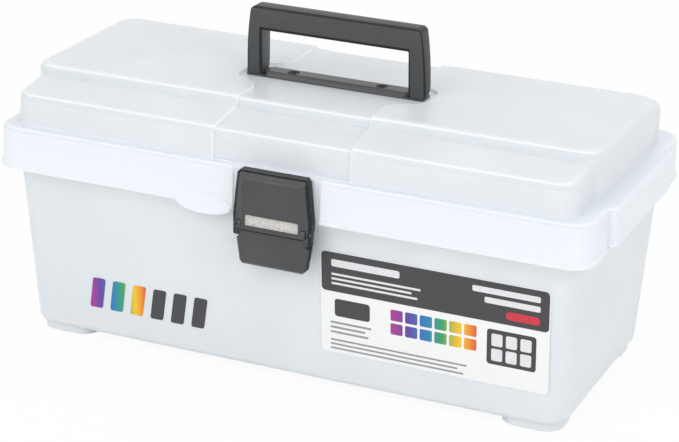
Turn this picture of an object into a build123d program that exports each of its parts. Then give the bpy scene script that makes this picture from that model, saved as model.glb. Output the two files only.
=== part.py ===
from build123d import *
from math import atan, cos, degrees, sin
import os

# A lidded carrying box with a lift-out tray: a tapered tub, a stepped lid on two rear hinges,
# a fold-down carrying handle, a draw latch at the front and a compartment tray inside.
# Origin at the middle of the footprint, on the ground. +X to the right along the length,
# -Y to the front, +Z up. Millimetres.

# Lid, outside
skirt_length = 406.0
skirt_width = 197.0
skirt_drop = 28.0
skirt_flare = 0.8
skirt_corner = 16.0
skirt_round = 3.0
bead_out = 0.8
bead_height = 2.6
step_length = 381.0
step_width = 185.0
step_rise = 21.5
step_slope_rise = 5.0
step_corner = 12.0
step_round = 5.5
dome_length = 390.0
dome_front = 61.0
dome_back = 66.0
dome_rise = 33.0
dome_corner = 14.0
dome_round = 6.0
lid_wall = 2.0

# Grip bulges on the lid's two ends
bulge_out = 5.0
bulge_width = 122.0
bulge_lift = 3.5
bulge_corner = 5.0

# Shallow channel across the lid, wide under the handle
channel_depth = 1.8
channel_margin = 4.0
channel_narrow = 90.0
channel_wall = 94.0
channel_flat = 26.0
channel_narrow_at = 26.0
channel_bend = 9.0

# Finger lip below the skirt, left of the latch
lip_centre = -50.0
lip_width = 38.0
lip_drop = 6.5
lip_thick = 3.0
lip_height = 9.0

# Tub
foot_height = 4.5
foot_length = 40.0
foot_width = 34.0
foot_inset = 3.5
tub_height = 140.2
tub_wall = 2.0
tub_floor = 2.4
tub_draw_ends = 7.0
tub_draw_front = 9.2
tub_corner = 18.0
tub_edge_round = 6.0
rim_flange = 3.8
rim_thick = 2.3
rim_lip_drop = 12.0
rim_lip_thick = 1.6

# Fits between lid and tub
rim_gap = 2.4
seat_gap = 0.3

# Rear hinges
hinge_at = 115.0
hinge_knuckle = 23.0
hinge_ear = 7.0
hinge_play = 0.4
hinge_out = 8.0
hinge_below = 3.0
barrel_radius = 4.0
hinge_pin_radius = 1.6
running_gap = 0.05
ear_web_depth = 16.0
knuckle_web_height = 13.0

# Tray
tray_gap_ends = 2.0
tray_gap_front = 1.3
tray_depth = 40.0
tray_wall = 1.6
tray_lip_width = 4.0
tray_lip_thick = 1.8
tray_taper = 1.5
tray_corner = 12.0
ledge_drop = 3.7
ledge_thick = 2.0
ledge_overlap = 3.4
ledge_width = 120.0
ledge_rib_thick = 2.0
ledge_rib_height = 12.0
divider_thick = 1.4
divider_step_down = 3.0
long_divider_at = 8.0
front_dividers = (-95.0, -5.0, 85.0)
back_divider = 60.0

# Carrying handle
handle_y = -7.0
handle_width = 124.0
handle_top_width = 118.0
handle_rise = 47.5
handle_opening = 102.0
handle_grip = 16.2
handle_depth_foot = 12.0
handle_front_lean = 3.2
handle_back_lean = 0.4
handle_corner = 8.0
handle_bevel = 2.4
handle_fold_gap = 0.3
plate_thick = 4.0
plate_depth = 12.0
plate_corner = 3.0
pad_thick = 1.4
pad_margin = 0.4
tab_thick = 3.0
tab_radius = 3.0
tab_play = 0.4
handle_pin_radius = 1.5
handle_pin_length = 8.4
screw_at = 31.0
screw_radius = 2.0
screw_head_radius = 3.9
screw_head_height = 1.4
screw_head_sink = 1.8
screw_tail = 1.0
nut_flats = 7.0
nut_thick = 3.2

# Draw latch
latch_width = 54.0
latch_low_width = 53.4
latch_top_width = 47.6
latch_face_width = 38.0
latch_proud = 8.0
latch_skin = 2.5
latch_side = 3.3
latch_top_thick = 2.7
latch_over = 1.1
latch_back_gap = 2.3
latch_nose_gap = 0.2
latch_corner = 3.0
latch_bevel = 1.8
latch_top_bevel = 3.5
latch_tab_drop = 7.6
latch_tab_draw = 1.2
pocket_half = 30.0
pocket_depth = 1.7
pocket_margin = 1.2
pivot_out = 7.8
pivot_below_skirt = 3.5
bracket_radius = 3.2
bracket_half = 20.2
bracket_web = 9.0
latch_pin_radius = 1.5
latch_pin_inset = 0.3
link_out = 4.6
link_down = 2.9
arm_radius = 3.3
cheek_radius = 2.8
cheek_thick = 2.7
side_play = 0.3
swing_radius = 4.4
window_half = 18.0
window_height = 7.6
window_sill = 2.5
sill_below_link = 2.9
sill_bevel = 1.4
lever_length = 22.7
lever_top_half = 25.0
lever_end_half = 22.5
lever_shoulder = 8.6
lever_shoulder_slope = 1.5
lever_set_back = 2.5
lever_thick = 3.0
lever_depth = 7.0
lever_corner = 2.0
lever_bevel = 1.5

# Front label
label_left = 26.5
label_right = 178.5
label_low = 28.0
label_high = 99.0
label_corner = 3.5
label_thick = 0.25

# Heights and half sizes that follow from the ones above
rim_top = foot_height + tub_height
shelf_top = rim_top + seat_gap + lid_wall
skirt_low = shelf_top - skirt_drop
step_top = shelf_top + step_rise
dome_top = shelf_top + dome_rise
skirt_x = skirt_length / 2
skirt_y = skirt_width / 2
rim_x = skirt_x - lid_wall - rim_gap
rim_y = skirt_y - lid_wall - rim_gap
tub_x = rim_x - rim_flange
tub_y = rim_y - rim_flange
tub_low_x = tub_x - tub_draw_ends
tub_low_y = tub_y - tub_draw_front
tub_slope = tub_draw_front / (skirt_low - foot_height)
reach = skirt_y + latch_proud
hinge_y = reach - barrel_radius
hinge_z = skirt_low - hinge_below
dome_middle = (dome_back - dome_front) / 2
overlap = 1.0
flat_within = 0.01


def slab(half_x, half_y, corner, low, high, taper=0.0):
    """A rounded rectangle, extruded between two heights, drawing in with height by a taper angle."""
    with BuildPart() as form:
        with BuildSketch(Plane.XY.offset(low)):
            RectangleRounded(2 * half_x, 2 * half_y, corner)
        extrude(amount=high - low, taper=taper)
    return form


def rounded_top(form, radius):
    """The same form with its top edge rounded."""
    with BuildPart() as rounded:
        add(form.part)
        fillet(rounded.faces().sort_by(Axis.Z)[-1].edges(), radius)
    return rounded


def skirt_form(inset, extra):
    """The lid's lowest tier, flared towards its open lower edge."""
    angle = degrees(atan(skirt_flare / skirt_drop))
    spread = skirt_flare / skirt_drop * extra
    half_x, half_y = skirt_x - inset + spread, skirt_y - inset + spread
    low, high = skirt_low - extra, shelf_top - inset
    form = slab(half_x, half_y, skirt_corner - inset, low, high, angle)
    return rounded_top(form, max(skirt_round - inset, 0.5)).part


def step_form(inset):
    """The middle tier: a wall at front and back, and a top that climbs towards the dome."""
    half_y, top = step_width / 2 - inset, step_top - inset
    crest = step_top + step_slope_rise - inset
    low = shelf_top - skirt_drop / 2
    with BuildPart() as form:
        with BuildSketch(Plane.YZ):
            Polygon(
                (-half_y, low), (half_y, low), (half_y, top), (dome_back, crest),
                (-dome_front, crest), (-half_y, top), align=None,
            )
        extrude(amount=step_length / 2 - inset, both=True)
        fillet(form.edges().filter_by(Axis.Z), step_corner - inset)
        rim = form.edges().filter_by(lambda e: e.center().Z > top - overlap)
        outer = rim.filter_by(lambda e: abs(e.center().Y) > dome_back + overlap)
        fillet(outer, step_round - inset / 2)
    return form.part


def dome_form(inset):
    """The top tier, whose ends stand down to the shelf."""
    half_x, half_y = dome_length / 2 - inset, (dome_front + dome_back) / 2 - inset
    low = shelf_top - skirt_drop / 2
    form = slab(half_x, half_y, dome_corner - inset, low, dome_top - inset)
    return rounded_top(form, dome_round - inset / 2).part.moved(Location((0, dome_middle, 0)))


def bulge_form(inset):
    """The two grip bulges, as one bar that runs through the lid."""
    half_x, half_y = skirt_x + bulge_out - inset, bulge_width / 2 - inset
    low = skirt_low + bulge_lift + inset
    form = slab(half_x, half_y, bulge_corner - inset / 2, low, shelf_top - inset)
    return rounded_top(form, max(skirt_round - inset, 0.5)).part


def tiers(inset, extra):
    """The lid's tiers as one solid, drawn in by an inset on every side."""
    with BuildPart() as form:
        add(skirt_form(inset, extra))
        add(bulge_form(inset))
        add(step_form(inset))
        add(dome_form(inset))
    return form.part


def channel_prism(grow):
    """The channel's plan as an upright prism: wide under the handle, narrow to the front and back."""
    wide, neck = handle_width / 2 + channel_margin + grow, channel_narrow / 2 + grow
    wall, end = channel_wall / 2 + grow, step_width / 2 + overlap
    flat, bend = channel_flat / 2 + grow / 2, channel_narrow_at + grow / 2
    right = [
        (wall, -end), (neck, handle_y - bend), (wide, handle_y - flat), (wide, handle_y + flat),
        (neck, handle_y + bend), (wall, end),
    ]
    left = [(-x, y) for x, y in reversed(right)]
    with BuildPart() as prism:
        with BuildSketch(Plane.XY.offset(shelf_top + overlap)) as plan:
            Polygon(*right, *left, align=None)
            corners = plan.vertices().filter_by(lambda v: abs(v.Y) < end - overlap)
            fillet(corners, channel_bend)
        extrude(amount=dome_rise + overlap)
    return prism.part


def channelled(inset, extra):
    """The tiers with the channel sunk into every surface that it crosses."""
    with BuildPart() as form:
        add(tiers(inset, extra))
        add(channel_prism(inset), mode=Mode.SUBTRACT)
        add(sunk_strip(inset, extra))
    return form.part


def sunk_strip(inset, extra):
    """The strip of lid inside the channel, one channel depth lower than the tiers around it."""
    with BuildPart() as strip:
        add(tiers(inset + channel_depth, extra))
        add(channel_prism(inset), mode=Mode.INTERSECT)
    return strip.part


# Shapes that the lid is built from, made before its own block
lid_outside = channelled(0.0, 0.0)
lid_inside = channelled(lid_wall, overlap)
pocket_y = skirt_y - pocket_depth
pocket_inner_y = pocket_y - lid_wall
channel_floor = dome_top - channel_depth

with BuildPart() as bead_ring:
    with BuildSketch(Plane.XY.offset(skirt_low)):
        RectangleRounded(skirt_length + 2 * bead_out, skirt_width + 2 * bead_out, skirt_corner)
        RectangleRounded(skirt_length - lid_wall, skirt_width - lid_wall, skirt_corner - lid_wall / 2,
                         mode=Mode.SUBTRACT)
    extrude(amount=bead_height)
    fillet(bead_ring.faces().sort_by(Axis.Z)[-1].outer_wire().edges(), bead_out * 0.9)

# Lid
with BuildPart() as lid:
    add(lid_outside)
    add(lid_inside, mode=Mode.SUBTRACT)
    add(bead_ring.part)
    # Pocket for the latch, with its wall carried behind it
    with BuildSketch(Plane.XY.offset(skirt_low - overlap)):
        with Locations((0, -pocket_y)):
            Rectangle(2 * pocket_half, 2 * pocket_depth + 2 * bead_out, align=(Align.CENTER, Align.MAX))
    extrude(amount=skirt_drop + 2 * overlap, mode=Mode.SUBTRACT)
    with BuildSketch(Plane.XY.offset(skirt_low)):
        with Locations((0, -pocket_y)):
            Rectangle(2 * (pocket_half + lid_wall), lid_wall, align=(Align.CENTER, Align.MIN))
    extrude(amount=skirt_drop)
    # Finger lip under the skirt
    with BuildSketch(Plane.XZ.offset(skirt_y + bead_out)):
        with Locations((lip_centre, skirt_low)):
            Ellipse(lip_width / 2, lip_drop)
        with Locations((lip_centre, skirt_low - lip_drop)):
            Rectangle(lip_width, lip_height + lip_drop, align=(Align.CENTER, Align.MIN),
                      mode=Mode.INTERSECT)
    extrude(amount=-lip_thick)
    # Hinge knuckles
    for side in (-1, 1):
        with BuildSketch(Plane.YZ.offset(side * hinge_at - hinge_knuckle / 2)):
            Polygon(
                (hinge_y - barrel_radius, hinge_z),
                (skirt_y - lid_wall / 2, skirt_low),
                (skirt_y - lid_wall / 2, skirt_low + knuckle_web_height),
                (skirt_y, skirt_low + knuckle_web_height),
                (hinge_y + barrel_radius, hinge_z),
                align=None,
            )
            with Locations((hinge_y, hinge_z)):
                Circle(barrel_radius)
                Circle(hinge_pin_radius + running_gap, mode=Mode.SUBTRACT)
        extrude(amount=hinge_knuckle)
    # Holes for the handle's screws
    with Locations(*[(side * screw_at, handle_y, channel_floor) for side in (-1, 1)]):
        Hole(screw_radius + running_gap, depth=lid_wall + overlap)

# Shapes that the tub is built from
with BuildPart() as tub_outside:
    with BuildSketch(Plane.XY.offset(foot_height)):
        RectangleRounded(2 * tub_low_x, 2 * tub_low_y, tub_corner - tub_wall)
    with BuildSketch(Plane.XY.offset(skirt_low)):
        RectangleRounded(2 * tub_x, 2 * tub_y, tub_corner)
    loft(ruled=True)
    fillet(tub_outside.faces().sort_by(Axis.Z)[0].edges(), tub_edge_round)
with BuildPart() as tub_inside:
    with BuildSketch(Plane.XY.offset(foot_height + tub_floor)):
        RectangleRounded(2 * (tub_low_x - tub_wall), 2 * (tub_low_y - tub_wall), tub_corner - 2 * tub_wall)
    with BuildSketch(Plane.XY.offset(skirt_low)):
        RectangleRounded(2 * (tub_x - tub_wall), 2 * (tub_y - tub_wall), tub_corner - tub_wall)
    loft(ruled=True)
    fillet(tub_inside.faces().sort_by(Axis.Z)[0].edges(), tub_edge_round - tub_wall)

tray_x = min(step_length / 2 - lid_wall - tray_gap_ends, tub_x - tub_wall - tray_gap_ends)
tray_y = tub_y - tub_wall - tray_gap_front
ledge_top = rim_top - ledge_drop
ledge_x = tray_x - ledge_overlap
notch_y = pocket_inner_y - rim_gap
notch_half = pocket_half + lid_wall + pocket_margin
pivot_y = -(tub_y + pivot_out)
pivot_z = skirt_low - pivot_below_skirt

# Tub
with BuildPart() as tub:
    add(tub_outside.part)
    with BuildSketch(Plane.XY.offset(skirt_low)):
        RectangleRounded(2 * tub_x, 2 * tub_y, tub_corner)
    extrude(amount=rim_top - skirt_low)
    # Rolled rim: a flange and a short lip that turns down from it
    with BuildSketch(Plane.XY.offset(rim_top - rim_thick)):
        RectangleRounded(2 * rim_x, 2 * rim_y, tub_corner)
    extrude(amount=rim_thick)
    with BuildSketch(Plane.XY.offset(rim_top - rim_lip_drop)):
        RectangleRounded(2 * rim_x, 2 * rim_y, tub_corner)
        RectangleRounded(2 * (rim_x - rim_lip_thick), 2 * (rim_y - rim_lip_thick),
                         tub_corner - rim_lip_thick, mode=Mode.SUBTRACT)
    extrude(amount=rim_lip_drop)
    # The rim steps in behind the latch's pocket
    with BuildSketch(Plane.XY.offset(rim_top - rim_lip_drop)):
        with Locations((0, -notch_y)):
            Rectangle(2 * notch_half, rim_y, align=(Align.CENTER, Align.MAX))
    extrude(amount=rim_lip_drop, mode=Mode.SUBTRACT)
    with BuildSketch(Plane.XY.offset(rim_top - rim_lip_drop)):
        with Locations((0, -notch_y)):
            Rectangle(2 * (notch_half + rim_lip_thick), rim_lip_thick, align=(Align.CENTER, Align.MIN))
    extrude(amount=rim_lip_drop)
    add(tub_inside.part, mode=Mode.SUBTRACT)
    with BuildSketch(Plane.XY.offset(skirt_low)):
        RectangleRounded(2 * (tub_x - tub_wall), 2 * (tub_y - tub_wall), tub_corner - tub_wall)
    extrude(amount=rim_top - skirt_low, mode=Mode.SUBTRACT)
    # Four feet under the corners
    with BuildSketch(Plane.XY):
        for sx in (-1, 1):
            for sy in (-1, 1):
                spot = (sx * (tub_low_x - foot_inset - foot_length / 2),
                        sy * (tub_low_y - foot_inset - foot_width / 2))
                with Locations(spot):
                    RectangleRounded(foot_length, foot_width, tub_corner - tub_wall - foot_inset)
    extrude(amount=foot_height + tub_floor / 2)
    # Ledges inside both ends, with ribs under them, that carry the tray by its lip
    for side in (-1, 1):
        with BuildSketch(Plane.XY.offset(ledge_top - ledge_thick)):
            with Locations((side * (ledge_x + tub_x - tub_wall / 2) / 2, 0)):
                Rectangle(tub_x - tub_wall / 2 - ledge_x, ledge_width)
        extrude(amount=ledge_thick)
        for rib_y in (-ledge_width / 2, 0, ledge_width / 2):
            middle = rib_y - (ledge_rib_thick / 2 if rib_y > 0 else -ledge_rib_thick / 2 if rib_y < 0 else 0)
            with BuildSketch(Plane.XZ.offset(-middle - ledge_rib_thick / 2)):
                Polygon(
                    (side * ledge_x, ledge_top - ledge_thick / 2),
                    (side * (tub_x - tub_wall / 2), ledge_top - ledge_thick / 2),
                    (side * (tub_x - tub_wall / 2), ledge_top - ledge_rib_height),
                    (side * ledge_x, ledge_top - ledge_thick),
                    align=None,
                )
            extrude(amount=ledge_rib_thick)
    # Hinge ears, two on each side of a lid knuckle
    for side in (-1, 1):
        for hand in (-1, 1):
            inner = hinge_knuckle / 2 + hinge_play
            start = side * hinge_at + (inner if hand > 0 else -inner - hinge_ear)
            with BuildSketch(Plane.YZ.offset(start)):
                Polygon(
                    (tub_y - tub_wall * 0.8, hinge_z - ear_web_depth),
                    (hinge_y, hinge_z - barrel_radius),
                    (hinge_y, hinge_z),
                    (tub_y - tub_wall * 0.8, hinge_z),
                    align=None,
                )
                with Locations((hinge_y, hinge_z)):
                    Circle(barrel_radius)
                    Circle(hinge_pin_radius, mode=Mode.SUBTRACT)
            extrude(amount=hinge_ear)
    # Bracket that carries the latch
    with BuildSketch(Plane.YZ.offset(-bracket_half)):
        Polygon(
            (-(tub_y - tub_wall * 0.8), pivot_z + bracket_radius),
            (pivot_y, pivot_z + bracket_radius),
            (pivot_y, pivot_z - bracket_radius),
            (-(tub_y - tub_wall * 0.8), pivot_z - bracket_web),
            align=None,
        )
        with Locations((pivot_y, pivot_z)):
            Circle(bracket_radius)
            Circle(latch_pin_radius, mode=Mode.SUBTRACT)
    extrude(amount=2 * bracket_half)

# Hinge pins
hinge_span = hinge_knuckle + 2 * hinge_play + 2 * hinge_ear
hinge_pins = {}
for name, side in (("hinge_pin_left", -1), ("hinge_pin_right", 1)):
    with BuildPart() as pin:
        with BuildSketch(Plane.YZ.offset(side * hinge_at - hinge_span / 2)):
            with Locations((hinge_y, hinge_z)):
                Circle(hinge_pin_radius)
        extrude(amount=hinge_span)
    hinge_pins[name] = pin

# Tray
tray_low = ledge_top - tray_depth
body_x = tray_x - tray_lip_width
body_y = tray_y - tray_lip_width
tray_floor = tray_low + tray_wall
with BuildPart() as tray_outside:
    with BuildSketch(Plane.XY.offset(tray_low)):
        RectangleRounded(2 * (body_x - tray_taper), 2 * (body_y - tray_taper), tray_corner)
    with BuildSketch(Plane.XY.offset(ledge_top)):
        RectangleRounded(2 * body_x, 2 * body_y, tray_corner)
    loft(ruled=True)
with BuildPart() as tray_inside:
    with BuildSketch(Plane.XY.offset(tray_floor)):
        RectangleRounded(2 * (body_x - tray_taper - tray_wall), 2 * (body_y - tray_taper - tray_wall),
                         tray_corner - tray_wall)
    with BuildSketch(Plane.XY.offset(ledge_top)):
        RectangleRounded(2 * (body_x - tray_wall), 2 * (body_y - tray_wall), tray_corner - tray_wall)
    loft(ruled=True)
divider_high = ledge_top - divider_step_down
inner_y = body_y - tray_taper - tray_wall / 2
with BuildPart() as tray:
    add(tray_outside.part)
    add(tray_inside.part, mode=Mode.SUBTRACT)
    with BuildSketch(Plane.XY.offset(ledge_top)):
        RectangleRounded(2 * tray_x, 2 * tray_y, tray_corner + tray_lip_width)
        RectangleRounded(2 * (body_x - tray_wall), 2 * (body_y - tray_wall), tray_corner - tray_wall,
                         mode=Mode.SUBTRACT)
    extrude(amount=tray_lip_thick)
    # Moulded dividers, a little lower than the lip, trimmed to the tray's inside
    with BuildSketch(Plane.XY.offset(tray_floor - tray_wall / 2)):
        with Locations((0, long_divider_at)):
            Rectangle(2 * (body_x - tray_taper - tray_wall / 2), divider_thick)
        for x in front_dividers:
            with Locations((x, long_divider_at)):
                Rectangle(divider_thick, inner_y + long_divider_at, align=(Align.CENTER, Align.MAX))
        with Locations((back_divider, long_divider_at)):
            Rectangle(divider_thick, inner_y - long_divider_at, align=(Align.CENTER, Align.MIN))
    extrude(amount=divider_high - tray_floor + tray_wall / 2)

# Handle. Its feet stand on two pads of the base and turn on pins in the base's tabs, to the back.
pad_top = channel_floor + pad_thick
foot_z = pad_top + handle_fold_gap
half_foot = handle_depth_foot / 2
handle_pivot_z = foot_z + half_foot
handle_top = channel_floor + handle_rise
opening_half = handle_opening / 2
post_thick = handle_width / 2 - opening_half
tab_middle = opening_half + post_thick / 2
slot_half = tab_thick / 2 + tab_play
slot_top = handle_pivot_z + tab_radius + tab_play
handle_front_y = handle_y - half_foot - handle_front_lean
handle_back_y = handle_y + half_foot - handle_back_lean
with BuildPart() as handle_side:
    # Seen from the end: a square front corner, a round back corner, and a front that leans forward
    with BuildSketch(Plane.YZ.offset(-handle_width / 2)):
        Polygon(
            (handle_y - half_foot, foot_z), (handle_y, foot_z), (handle_y, handle_pivot_z),
            (handle_y + half_foot, handle_pivot_z), (handle_back_y, handle_top), (handle_front_y, handle_top),
            align=None,
        )
        with Locations((handle_y, handle_pivot_z)):
            Circle(half_foot)
    extrude(amount=handle_width)
with BuildPart() as handle_bail:
    with BuildSketch(Plane.XZ.offset(-handle_back_y - half_foot)) as front:
        Polygon(
            (-handle_width / 2, foot_z), (handle_width / 2, foot_z),
            (handle_top_width / 2, handle_top), (-handle_top_width / 2, handle_top), align=None,
        )
        fillet(front.vertices().group_by(Axis.Y)[-1], handle_corner)
        with Locations((0, foot_z)):
            Rectangle(2 * opening_half, handle_top - handle_grip - foot_z, align=(Align.CENTER, Align.MIN),
                      mode=Mode.SUBTRACT)
    extrude(amount=handle_back_y - handle_front_y + handle_depth_foot)
    add(handle_side.part, mode=Mode.INTERSECT)
    grip_edges = handle_bail.edges().filter_by(
        lambda e: e.center().Z > handle_top - flat_within and abs(e.center().Y - handle_y) > half_foot / 2
    )
    chamfer(grip_edges, handle_bevel)
    # Slots for the tabs, open below and behind, and blind bores for the pins
    for side in (-1, 1):
        with BuildSketch(Plane.YZ.offset(side * tab_middle - slot_half)):
            with Locations((handle_y - tab_radius - tab_play, foot_z - overlap)):
                Rectangle(handle_depth_foot + overlap, slot_top - foot_z + overlap, align=(Align.MIN, Align.MIN))
        extrude(amount=2 * slot_half, mode=Mode.SUBTRACT)
        with BuildSketch(Plane.YZ.offset(side * tab_middle - handle_pin_length / 2 - running_gap)):
            with Locations((handle_y, handle_pivot_z)):
                Circle(handle_pin_radius + running_gap)
        extrude(amount=handle_pin_length + 2 * running_gap, mode=Mode.SUBTRACT)

pad_half = handle_width / 2 + pad_margin
pad_depth = handle_depth_foot + 2 * pad_margin
with BuildPart() as handle_base:
    with BuildSketch(Plane.XY.offset(channel_floor)) as plate_plan:
        with Locations((0, handle_y)):
            Rectangle(2 * (opening_half - pad_margin), plate_depth)
        chamfer(plate_plan.vertices(), plate_corner)
    extrude(amount=plate_thick)
    for side in (-1, 1):
        inner_x = opening_half - plate_corner - pad_margin
        with BuildSketch(Plane.XY.offset(channel_floor)) as pad_plan:
            with Locations((side * (pad_half + inner_x) / 2, handle_y)):
                Rectangle(pad_half - inner_x, pad_depth)
        extrude(amount=pad_thick)
        with BuildSketch(Plane.YZ.offset(side * tab_middle - tab_thick / 2)):
            with Locations((handle_y, handle_pivot_z)):
                Circle(tab_radius)
            with Locations((handle_y, pad_top - pad_thick / 2)):
                Rectangle(2 * tab_radius, handle_pivot_z - pad_top + pad_thick / 2,
                          align=(Align.CENTER, Align.MIN))
            with Locations((handle_y, handle_pivot_z)):
                Circle(handle_pin_radius, mode=Mode.SUBTRACT)
        extrude(amount=tab_thick)
    with Locations(*[(side * screw_at, handle_y, channel_floor + plate_thick) for side in (-1, 1)]):
        CounterBoreHole(screw_radius + running_gap, screw_head_radius + running_gap, screw_head_sink,
                        depth=plate_thick)

screw_seat = channel_floor + plate_thick - screw_head_sink
nut_top = channel_floor - lid_wall
handle_hardware = {}
for hand, side in (("left", -1), ("right", 1)):
    with BuildPart() as screw:
        with BuildSketch(Plane.XY.offset(screw_seat)):
            with Locations((side * screw_at, handle_y)):
                Circle(screw_head_radius)
        extrude(amount=screw_head_height)
        with BuildSketch(Plane.XY.offset(nut_top - nut_thick - screw_tail)):
            with Locations((side * screw_at, handle_y)):
                Circle(screw_radius)
        extrude(amount=screw_seat - nut_top + nut_thick + screw_tail)
        # Cross recess in the head
        with BuildSketch(Plane.XY.offset(screw_seat + screw_head_height)):
            with Locations((side * screw_at, handle_y)):
                Rectangle(screw_head_radius, screw_head_radius / 4)
                Rectangle(screw_head_radius / 4, screw_head_radius)
        extrude(amount=-screw_head_height / 2, mode=Mode.SUBTRACT)
    with BuildPart() as nut:
        with BuildSketch(Plane.XY.offset(nut_top - nut_thick)):
            with Locations((side * screw_at, handle_y)):
                RegularPolygon(nut_flats / 2, 6, major_radius=False)
                Circle(screw_radius, mode=Mode.SUBTRACT)
        extrude(amount=nut_thick)
    with BuildPart() as pin:
        with BuildSketch(Plane.YZ.offset(side * tab_middle - handle_pin_length / 2)):
            with Locations((handle_y, handle_pivot_z)):
                Circle(handle_pin_radius)
        extrude(amount=handle_pin_length)
    handle_hardware[f"handle_screw_{hand}"] = screw
    handle_hardware[f"handle_nut_{hand}"] = nut
    handle_hardware[f"handle_pin_{hand}"] = pin

# Latch. The lever turns on the tub's bracket, the hook turns on the lever's two cheeks.
link_y = pivot_y - link_out
link_z = pivot_z - link_down
face_y = -reach
skin_y = face_y + latch_skin
lever_y = face_y + lever_set_back
hook_top = shelf_top + latch_over
hook_back_y = -(pocket_y + latch_back_gap - pocket_depth / 2)
nose_y = -(pocket_y + latch_nose_gap)
sill_z = link_z - sill_below_link
tab_low = link_z - latch_tab_drop
window_low = sill_z + window_sill
notch_top = link_z + arm_radius + window_sill
cheek_outer = bracket_half + side_play + cheek_thick
arm_inner = cheek_outer + side_play
arm_outer = latch_width / 2
pin_outer = latch_low_width / 2 - latch_pin_inset


def both_sides(right):
    """An outline that is the same on the left as on the right, from its right half."""
    return [*right, *[(-x, z) for x, z in reversed(right)]]


flap_outline = both_sides([
    (latch_low_width / 2, tab_low), (latch_width / 2, skirt_low),
    (latch_top_width / 2, hook_top - latch_corner), (latch_top_width / 2 - latch_corner, hook_top),
])
flap_face = both_sides([
    (latch_face_width / 2, tab_low), (latch_face_width / 2, skirt_low),
    (latch_face_width / 2, hook_top - latch_top_bevel - latch_corner / 2),
    (latch_face_width / 2 - latch_corner / 2, hook_top - latch_top_bevel),
])
with BuildPart() as latch_hook:
    # Flap, wider towards the arms, with broad bevels round a flat face
    with BuildSketch(Plane.XZ.offset(reach)):
        Polygon(*flap_face, align=None)
    with BuildSketch(Plane.XZ.offset(reach - latch_bevel)):
        Polygon(*flap_outline, align=None)
    loft(ruled=True)
    with BuildSketch(Plane.XZ.offset(reach - latch_bevel)):
        Polygon(*flap_outline, align=None)
    extrude(amount=-(reach - latch_bevel + nose_y))
    # Hollow behind the skin, open at the back and below
    inner_top = latch_top_width / 2 - latch_side
    with BuildSketch(Plane.XZ.offset(-skin_y)):
        Polygon(
            *both_sides([
                (arm_inner, tab_low - overlap), (arm_inner, skirt_low),
                (inner_top, hook_top - latch_top_thick),
            ]), align=None,
        )
    extrude(amount=skin_y - nose_y, mode=Mode.SUBTRACT)
    # Side walls stop short of the skirt, only the top wall reaches on to it
    with BuildSketch(Plane.YZ.offset(-arm_outer)):
        Polygon(
            (hook_back_y, tab_low - overlap), (nose_y + overlap, tab_low - overlap),
            (nose_y + overlap, hook_top - latch_top_thick), (hook_back_y, hook_top - latch_top_thick),
            align=None,
        )
    extrude(amount=latch_width, mode=Mode.SUBTRACT)
    # Arms narrow towards their lower ends
    with BuildSketch(Plane.YZ.offset(-arm_outer)):
        Polygon(
            (link_y + arm_radius, link_z), (link_y + arm_radius - latch_tab_draw, tab_low - overlap),
            (nose_y + overlap, tab_low - overlap), (nose_y + overlap, notch_top), align=None,
        )
    extrude(amount=latch_width, mode=Mode.SUBTRACT)
    # Between the arms the skin ends in a sill, under the window
    with BuildSketch(Plane.XZ.offset(reach + overlap)):
        with Locations((0, sill_z)):
            Rectangle(2 * arm_inner, 2 * latch_tab_drop, align=(Align.CENTER, Align.MAX))
        with Locations((0, window_low)):
            Rectangle(2 * window_half, window_height, align=(Align.CENTER, Align.MIN))
        for side in (-1, 1):
            with Locations((side * (bracket_half + arm_inner) / 2, sill_z - overlap)):
                Rectangle(arm_inner - bracket_half, notch_top - sill_z + overlap,
                          align=(Align.CENTER, Align.MIN))
    extrude(amount=-(latch_skin + 2 * overlap), mode=Mode.SUBTRACT)
    with BuildSketch(Plane.YZ.offset(-bracket_half)):
        Polygon(
            (face_y - overlap, sill_z - overlap), (face_y + sill_bevel + overlap, sill_z - overlap),
            (face_y - overlap, sill_z + sill_bevel + overlap), align=None,
        )
    extrude(amount=2 * bracket_half, mode=Mode.SUBTRACT)
    with BuildSketch(Plane.YZ.offset(-arm_outer)):
        with Locations((link_y, link_z)):
            Circle(latch_pin_radius + running_gap)
    extrude(amount=latch_width, mode=Mode.SUBTRACT)

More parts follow.
